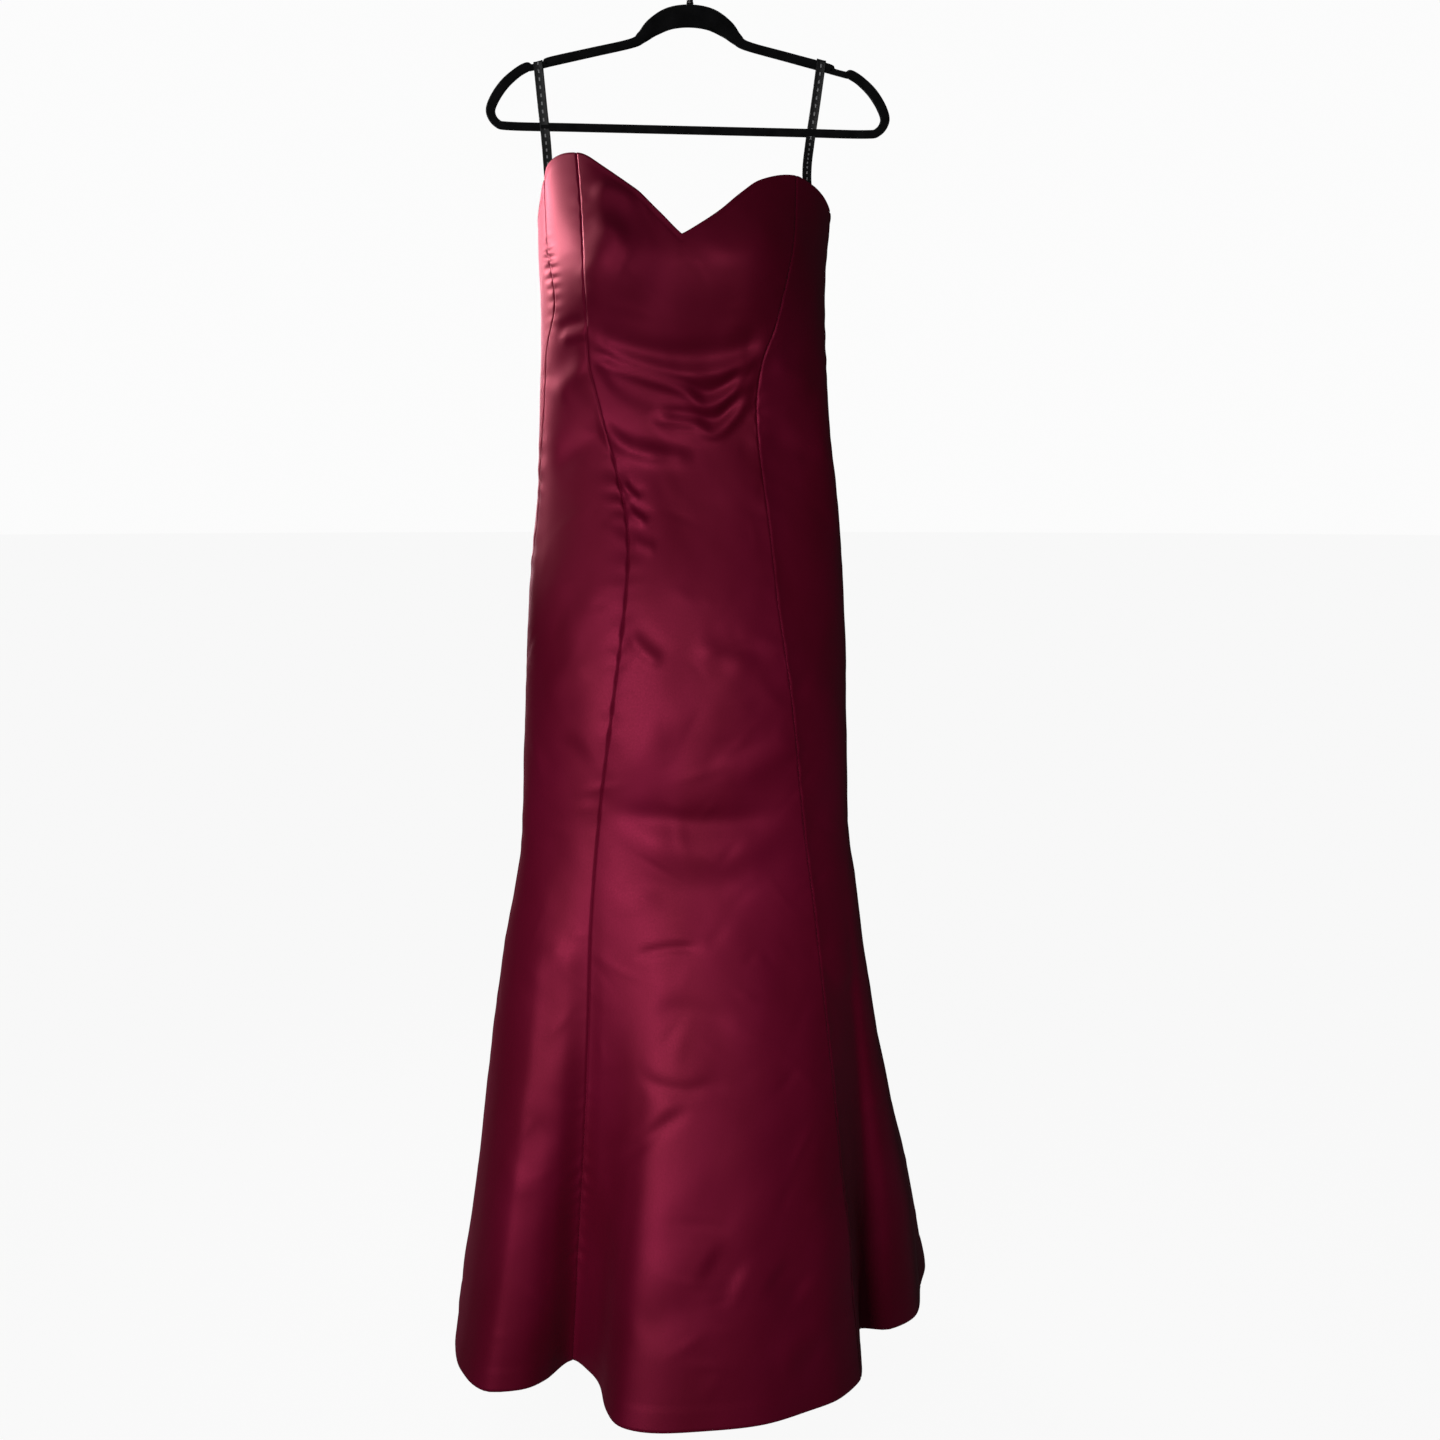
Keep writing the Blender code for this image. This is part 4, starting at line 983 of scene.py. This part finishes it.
def loop_route(arm_x, neck_x, neck_y, neck_z, end_girth, end_z):
    """Places and crosswise directions along a loop, from one sewn end to the other."""
    arm_z, arm_half = arm_at(arm_x)
    beside = HANGER_THICKNESS / 2.0 + RIBBON_GAP + RIBBON_THICKNESS / 2.0
    above = arm_half + RIBBON_GAP + RIBBON_THICKNESS
    slant = (neck_x - arm_x) / (neck_z - arm_z)
    point, normal, around, down = (values[0] for values in surface_frames(end_girth, [end_z]))
    ribbon_across = around if around[0] > 0.0 else -around
    flat = np.array((1.0, 0.0, 0.0))
    rise = arm_at(arm_x + RIBBON_WIDTH / 2.0)[0] - arm_at(arm_x - RIBBON_WIDTH / 2.0)[0]
    sloped = unit(np.array((RIBBON_WIDTH, 0.0, rise)))

    def strand(side, depth):
        sewn = point - normal * (WALL + RIBBON_GAP + RIBBON_THICKNESS / 2.0 + depth)
        drop = BAR_UNDER_Z - arm_z
        turned = unit(flat * (1.0 - NECK_TWIST) + ribbon_across * NECK_TWIST)
        turn_y, turn_z = side * beside * ARM_TURN_SIDE, arm_z + above * ARM_TURN_RISE
        return [
            (sewn, ribbon_across),
            (sewn - down * SEWN_LENGTH, ribbon_across),
            (np.array((neck_x, neck_y + side * STRAND_HALF_GAP, neck_z)), turned),
            (np.array((arm_x + slant * drop, side * beside, BAR_UNDER_Z)), flat),
            (np.array((arm_x + slant * 0.5 * drop, side * beside, arm_z + 0.5 * drop)), flat),
            (np.array((arm_x, side * beside, arm_z + arm_half * ARM_SIDE_SHARE)), sloped),
            (np.array((arm_x, turn_y, turn_z)), sloped),
        ]

    front, back = strand(-1.0, 0.0), strand(1.0, RIBBON_THICKNESS + RIBBON_GAP)
    return front + [(np.array((arm_x, 0.0, arm_z + above)), sloped)] + back[::-1]


def build_loop(name, ribbon, *sizes):
    """Woven ribbon with firmer selvedges, smooth between the places that hold it."""
    route = loop_route(*sizes)
    places = np.array([np.concatenate(pair) for pair in route])
    keys = lengths_along(places[:, :3])
    path = through(keys, places, RIBBON_STEPS)
    along_path = lengths_along(path[:, :3])
    direction = unit(np.gradient(path[:, :3], axis=0))
    across = path[:, 3:] - direction * np.sum(path[:, 3:] * direction, axis=-1, keepdims=True)
    across = unit(across)
    thick = unit(np.cross(direction, across))
    half = RIBBON_WIDTH / 2.0
    edge = half - RIBBON_SELVEDGE
    below = [
        # across, share of the half thickness
        (-half, -0.4), (-half + SELVEDGE_ROUND, -1.0), (-edge, -0.9), (-edge + SELVEDGE_STEP, -0.6), (0.0, -0.6),
        (edge - SELVEDGE_STEP, -0.6), (edge, -0.9), (half - SELVEDGE_ROUND, -1.0), (half, -0.4),
    ]
    wide, deep = np.array(below + [(place, -share) for place, share in reversed(below)]).T
    deep = deep * RIBBON_LOOK_THICKNESS / 2.0
    rings = path[:, None, :3] + across[:, None] * wide[None, :, None] + thick[:, None] * deep[None, :, None]
    mesh = sweep_mesh(name, rings, lengths=along_path, widths=wide)
    side = name.rsplit("_", 1)[1]
    piece = add_piece("ribbon_loop_" + side, mesh, ribbon, "garment", "ribbon", name)


def build_zip(points, normals, lengths, start, tape_cloth, coil_nylon):
    """Woven tape inside the centre back and the coil of its teeth on the inner face."""
    rows = slice(1, int(np.sum(points[start, :, 2] > TAPE_END_Z)))
    shares = np.linspace(-TAPE_WIDTH / 2.0, TAPE_WIDTH / 2.0, 9)
    depth = CLOTH_THICK + ALLOWANCE_GAP + ALLOWANCE_THICK + TAPE_GAP
    face, out = inner_strip(points, normals, lengths, start, shares, depth)
    face, out = face[:, rows], out[rows]
    inner = face - out[None] * TAPE_THICKNESS
    uv = np.stack(np.broadcast_arrays(shares[:, None], -face[..., 2]), axis=-1)
    mesh = shell_mesh("zip_tape_woven", face, inner, uv)
    piece = add_piece("zip_tape_woven", mesh, tape_cloth, "garment", "zip_tape", "zip_tape")
    places = lengths_along(face[4])
    length = float(places[-1])
    turns = int(length / COIL_PITCH)
    at = length * np.linspace(0.02, 0.98, turns * COIL_STEPS)
    around = unit(face[5] - face[3])
    base = np.concatenate((inner[4], out, around), axis=1)
    row = np.stack([np.interp(at, places, base[:, axis]) for axis in range(9)], axis=-1)
    centre, out, side = row[:, :3], row[:, 3:6], row[:, 6:9]
    spin = math.tau * np.arange(len(at)) / COIL_STEPS
    centre = centre - out * (COIL_RADIUS + COIL_WIRE)
    path = centre + (side * np.cos(spin)[:, None] * COIL_BREADTH + out * np.sin(spin)[:, None]) * COIL_RADIUS
    direction = unit(np.gradient(path, axis=0))
    first = unit(np.cross(direction, out))
    second = np.cross(direction, first)
    turn = math.tau * np.arange(4) / 4
    rings = path[:, None] + COIL_WIRE * (
        first[:, None] * np.cos(turn)[None, :, None] + second[:, None] * np.sin(turn)[None, :, None]
    )
    add_piece("zip_coil", sweep_mesh("zip_coil", rings), coil_nylon, "garment", "zip_tape")


def new_material(name):
    made = bpy.data.materials.new(name)
    made.use_nodes = True
    nodes, links = made.node_tree.nodes, made.node_tree.links
    return made, nodes, links, nodes["Principled BSDF"]


def math_node(nodes, links, operation, first, second=None):
    node = nodes.new("ShaderNodeMath")
    node.operation = operation
    for socket, value in zip(node.inputs, (first, second)):
        if value is None:
            continue
        if isinstance(value, (int, float)):
            socket.default_value = value
        else:
            links.new(value, socket)
    return node.outputs[0]


def ramp(nodes, links, source, stops):
    node = nodes.new("ShaderNodeValToRGB")
    links.new(source, node.inputs["Fac"])
    elements = node.color_ramp.elements
    while len(elements) < len(stops):
        elements.new(0.5)
    for element, (place, colour) in zip(elements, stops):
        element.position = place
        element.color = colour
    return node.outputs["Color"]


def noise(nodes, links, vector, scale, detail=3.0, roughness=0.55):
    node = nodes.new("ShaderNodeTexNoise")
    node.inputs["Scale"].default_value = scale
    node.inputs["Detail"].default_value = detail
    node.inputs["Roughness"].default_value = roughness
    links.new(vector, node.inputs["Vector"])
    return node.outputs["Fac"]


def stretched(nodes, links, vector, scale):
    node = nodes.new("ShaderNodeMapping")
    node.inputs["Scale"].default_value = scale
    links.new(vector, node.inputs["Vector"])
    return node.outputs["Vector"]


def bump(nodes, links, height, strength, distance, before=None):
    node = nodes.new("ShaderNodeBump")
    node.inputs["Strength"].default_value = strength
    node.inputs["Distance"].default_value = distance
    links.new(height, node.inputs["Height"])
    if before is not None:
        links.new(before, node.inputs["Normal"])
    return node.outputs["Normal"]


def tune(shader, **values):
    """Sets plain values, with a socket's name written with underscores."""
    for name, value in values.items():
        shader.inputs[name.replace("_", " ")].default_value = value


def satin_material():
    """Heavy burgundy satin: a low broad gloss, fine warp floats and a slightly clouded dye."""
    made, nodes, links, shader = new_material("burgundy_satin")
    place = nodes.new("ShaderNodeTexCoord").outputs["UV"]
    cloud = noise(nodes, links, stretched(nodes, links, place, (7.0, 3.0, 1.0)), 1.0, 4.0)
    colour = ramp(nodes, links, cloud, ((0.36, SATIN_DEEP), (0.66, SATIN_BRIGHT)))
    links.new(colour, shader.inputs["Base Color"])
    floats = noise(nodes, links, stretched(nodes, links, place, (2600.0, 300.0, 1.0)), 1.0, 2.0)
    grain = noise(nodes, links, stretched(nodes, links, place, (520.0, 430.0, 1.0)), 1.0, 3.0)
    uneven = math_node(nodes, links, "MULTIPLY", grain, 0.20)
    rough = math_node(nodes, links, "ADD", uneven, 0.44)
    links.new(rough, shader.inputs["Roughness"])
    normal = bump(nodes, links, floats, 0.22, 0.00012)
    normal = bump(nodes, links, grain, 0.20, 0.00035, normal)
    links.new(normal, shader.inputs["Normal"])
    tune(shader, Metallic=0.45, Specular_IOR_Level=0.40, Specular_Tint=(1.0, 0.30, 0.45, 1.0))
    tune(shader, Sheen_Weight=0.06, Sheen_Roughness=0.45, Sheen_Tint=(1.0, 0.20, 0.34, 1.0))
    return made


def flocked_material():
    """Short black flock: fibres that scatter, with painted sheen as fine lighter speckles where they lean,
    stronger in random patches.
    """
    made, nodes, links, shader = new_material("black_flock")
    place = nodes.new("ShaderNodeTexCoord").outputs["Object"]
    fibres, patches = noise(nodes, links, place, 1400.0, 3.0), noise(nodes, links, place, 60.0, 3.0)
    # painted sheen: fine noise times patch noise lightens the black towards the pale stop
    painted_sheen = math_node(nodes, links, "MULTIPLY", fibres, patches)
    colour = ramp(nodes, links, painted_sheen, ((0.14, FLOCK_DARK), (0.42, FLOCK_SHEEN_PALE)))
    links.new(colour, shader.inputs["Base Color"])
    links.new(bump(nodes, links, fibres, 0.8, 0.0005), shader.inputs["Normal"])
    tune(shader, Roughness=0.95, Specular_IOR_Level=0.15, Sheen_Weight=0.05, Sheen_Roughness=0.5)
    return made


def metal_material(name, colour, roughness, metallic):
    """Drawn wire or enamelled metal: fine scratches and a slightly uneven gloss."""
    made, nodes, links, shader = new_material(name)
    place = nodes.new("ShaderNodeTexCoord").outputs["Object"]
    scratches = noise(nodes, links, stretched(nodes, links, place, (900.0, 900.0, 120.0)), 1.0, 4.0)
    blotches = noise(nodes, links, place, 80.0, 3.0)
    darker = tuple(0.72 * value for value in colour[:3]) + (1.0,)
    links.new(ramp(nodes, links, blotches, ((0.3, darker), (0.7, colour))), shader.inputs["Base Color"])
    uneven = math_node(nodes, links, "MULTIPLY", scratches, 0.22)
    links.new(math_node(nodes, links, "ADD", uneven, roughness - 0.1), shader.inputs["Roughness"])
    links.new(bump(nodes, links, scratches, 0.25, 0.00006), shader.inputs["Normal"])
    tune(shader, Metallic=metallic)
    return made


def ribbed(nodes, links, coordinate, count):
    """Rounded ribs across a coordinate, so many to the metre."""
    turned = math_node(nodes, links, "MULTIPLY", coordinate, math.tau * count)
    return math_node(nodes, links, "SINE", turned)


def cloth_material(name, colour):
    """Plain woven tape: fine ribs across and a clouded dye."""
    made, nodes, links, shader = new_material(name)
    coordinates = nodes.new("ShaderNodeTexCoord")
    split = nodes.new("ShaderNodeSeparateXYZ")
    links.new(coordinates.outputs["UV"], split.inputs[0])
    ribs = ribbed(nodes, links, split.outputs["Y"], 1600.0)
    grain = noise(nodes, links, coordinates.outputs["Object"], 700.0, 3.0)
    darker = tuple(0.6 * value for value in colour[:3]) + (1.0,)
    links.new(ramp(nodes, links, grain, ((0.3, darker), (0.7, colour))), shader.inputs["Base Color"])
    rough_yarn = bump(nodes, links, grain, 0.3, 0.0002)
    links.new(bump(nodes, links, ribs, 0.3, 0.0001, rough_yarn), shader.inputs["Normal"])
    tune(shader, Roughness=0.8, Specular_IOR_Level=0.25)
    return made


def ribbon_material():
    """Black satin ribbon: cross ribs, darker selvedges and a row of plain pale dashes."""
    made, nodes, links, shader = new_material("black_ribbon")
    coordinates = nodes.new("ShaderNodeTexCoord")
    split = nodes.new("ShaderNodeSeparateXYZ")
    links.new(coordinates.outputs["UV"], split.inputs[0])
    across, run = split.outputs["X"], split.outputs["Y"]
    ribs = ribbed(nodes, links, run, 1300.0)
    grain = noise(nodes, links, coordinates.outputs["Object"], 900.0, 3.0)
    black = ramp(nodes, links, grain, ((0.3, RIBBON_DARK), (0.7, RIBBON_PALE)))
    off_centre = math_node(nodes, links, "ABSOLUTE", across)
    in_row = math_node(nodes, links, "LESS_THAN", off_centre, DASH_HALF_WIDTH)
    step = math_node(nodes, links, "FRACT", math_node(nodes, links, "DIVIDE", run, DASH_PITCH))
    in_dash = math_node(nodes, links, "LESS_THAN", step, DASH_SHARE)
    dash = math_node(nodes, links, "MULTIPLY", in_row, in_dash)
    mix = nodes.new("ShaderNodeMix")
    mix.data_type = "RGBA"
    links.new(dash, mix.inputs["Factor"])
    links.new(black, mix.inputs["A"])
    mix.inputs["B"].default_value = DASH_GREY
    links.new(mix.outputs["Result"], shader.inputs["Base Color"])
    links.new(bump(nodes, links, ribs, 0.35, 0.00012), shader.inputs["Normal"])
    tune(shader, Roughness=0.45, Specular_IOR_Level=0.35)
    return made


def dress_node(node, material):
    target = bpy.data.objects[node]
    target.data.materials.clear()
    target.data.materials.append(material)


def stage_material(name, colour):
    made, _, _, shader = new_material(name)
    tune(shader, Base_Color=colour, Roughness=0.9, Specular_IOR_Level=0.1)
    tune(shader, Emission_Color=WHITE, Emission_Strength=FLOOR_GLOW)
    return made


def add_stage():
    """Wide pale floor."""
    turns = [math.tau * side / FLOOR_SIDES for side in range(FLOOR_SIDES)]
    vertices = [(FLOOR_RADIUS * math.cos(turn), FLOOR_RADIUS * math.sin(turn), FLOOR_Z) for turn in turns]
    mesh = bpy.data.meshes.new("floor")
    mesh.from_pydata(vertices, [], [tuple(range(FLOOR_SIDES))])
    mesh.materials.append(stage_material("floor_paint", (0.05, 0.05, 0.05, 1.0)))
    floor = bpy.data.objects.new("floor", mesh)
    bpy.context.collection.objects.link(floor)
    floor.visible_diffuse = False
    floor.visible_glossy = False


def aimed(name, data, place, target):
    light = bpy.data.objects.new(name, data)
    light.location = place
    aim = Vector(target) - Vector(place)
    light.rotation_euler = aim.to_track_quat("-Z", "Y").to_euler()
    bpy.context.collection.objects.link(light)


def add_lights():
    place, power, angle = SUN
    data = bpy.data.lights.new("sun", "SUN")
    data.energy = power
    data.angle = angle
    aimed("sun", data, place, (0.0, 0.0, 0.0))
    for name, place, target, power, width, height, spread in SOFT_BOXES:
        data = bpy.data.lights.new(name, "AREA")
        data.energy = power
        data.shape = "RECTANGLE"
        data.size, data.size_y = width, height
        data.spread = math.radians(spread)
        aimed(name, data, place, target)


def add_world():
    """Dim soft light from all round, behind a plain pale backdrop."""
    world = bpy.data.worlds.new("soft_world")
    world.use_nodes = True
    nodes, links = world.node_tree.nodes, world.node_tree.links
    glow, backdrop = nodes["Background"], nodes.new("ShaderNodeBackground")
    tune(glow, Color=WHITE, Strength=AMBIENT)
    tune(backdrop, Color=WHITE, Strength=BACKDROP)
    choice = nodes.new("ShaderNodeMixShader")
    links.new(nodes.new("ShaderNodeLightPath").outputs["Is Camera Ray"], choice.inputs["Fac"])
    links.new(glow.outputs["Background"], choice.inputs[1])
    links.new(backdrop.outputs["Background"], choice.inputs[2])
    links.new(choice.outputs["Shader"], nodes["World Output"].inputs["Surface"])
    bpy.context.scene.world = world


def add_camera_and_light():
    data = bpy.data.cameras.new("camera")
    data.lens = FOCAL_MM
    data.sensor_width = SENSOR_MM
    data.shift_x = CAMERA_SHIFT_X
    camera = bpy.data.objects.new("camera", data)
    camera.location = CAMERA_PLACE
    camera.rotation_euler = (math.pi / 2.0 - PITCH, 0.0, 0.0)
    bpy.context.collection.objects.link(camera)
    bpy.context.scene.camera = camera
    bpy.context.scene.view_settings.view_transform = "Standard"
    add_world()
    add_lights()


def main():
    seams = build_cloth(satin_material())
    build_hanger_frame(flocked_material())
    build_hook(metal_material("hook_wire", WIRE_GREY, 0.28, 1.0))
    ribbon = ribbon_material()
    for name, *sizes in LOOPS:
        build_loop(name, ribbon, *sizes)
    build_zip(*seams, cloth_material("zip_tape", TAPE_WINE), cloth_material("zip_coil", COIL_WINE))
    enamel = metal_material("zip_enamel", ENAMEL_WINE, 0.30, 0.6)
    dress_node("zip_slider", enamel)
    dress_node("zip_pull", enamel)
    add_stage()
    add_camera_and_light()


main()
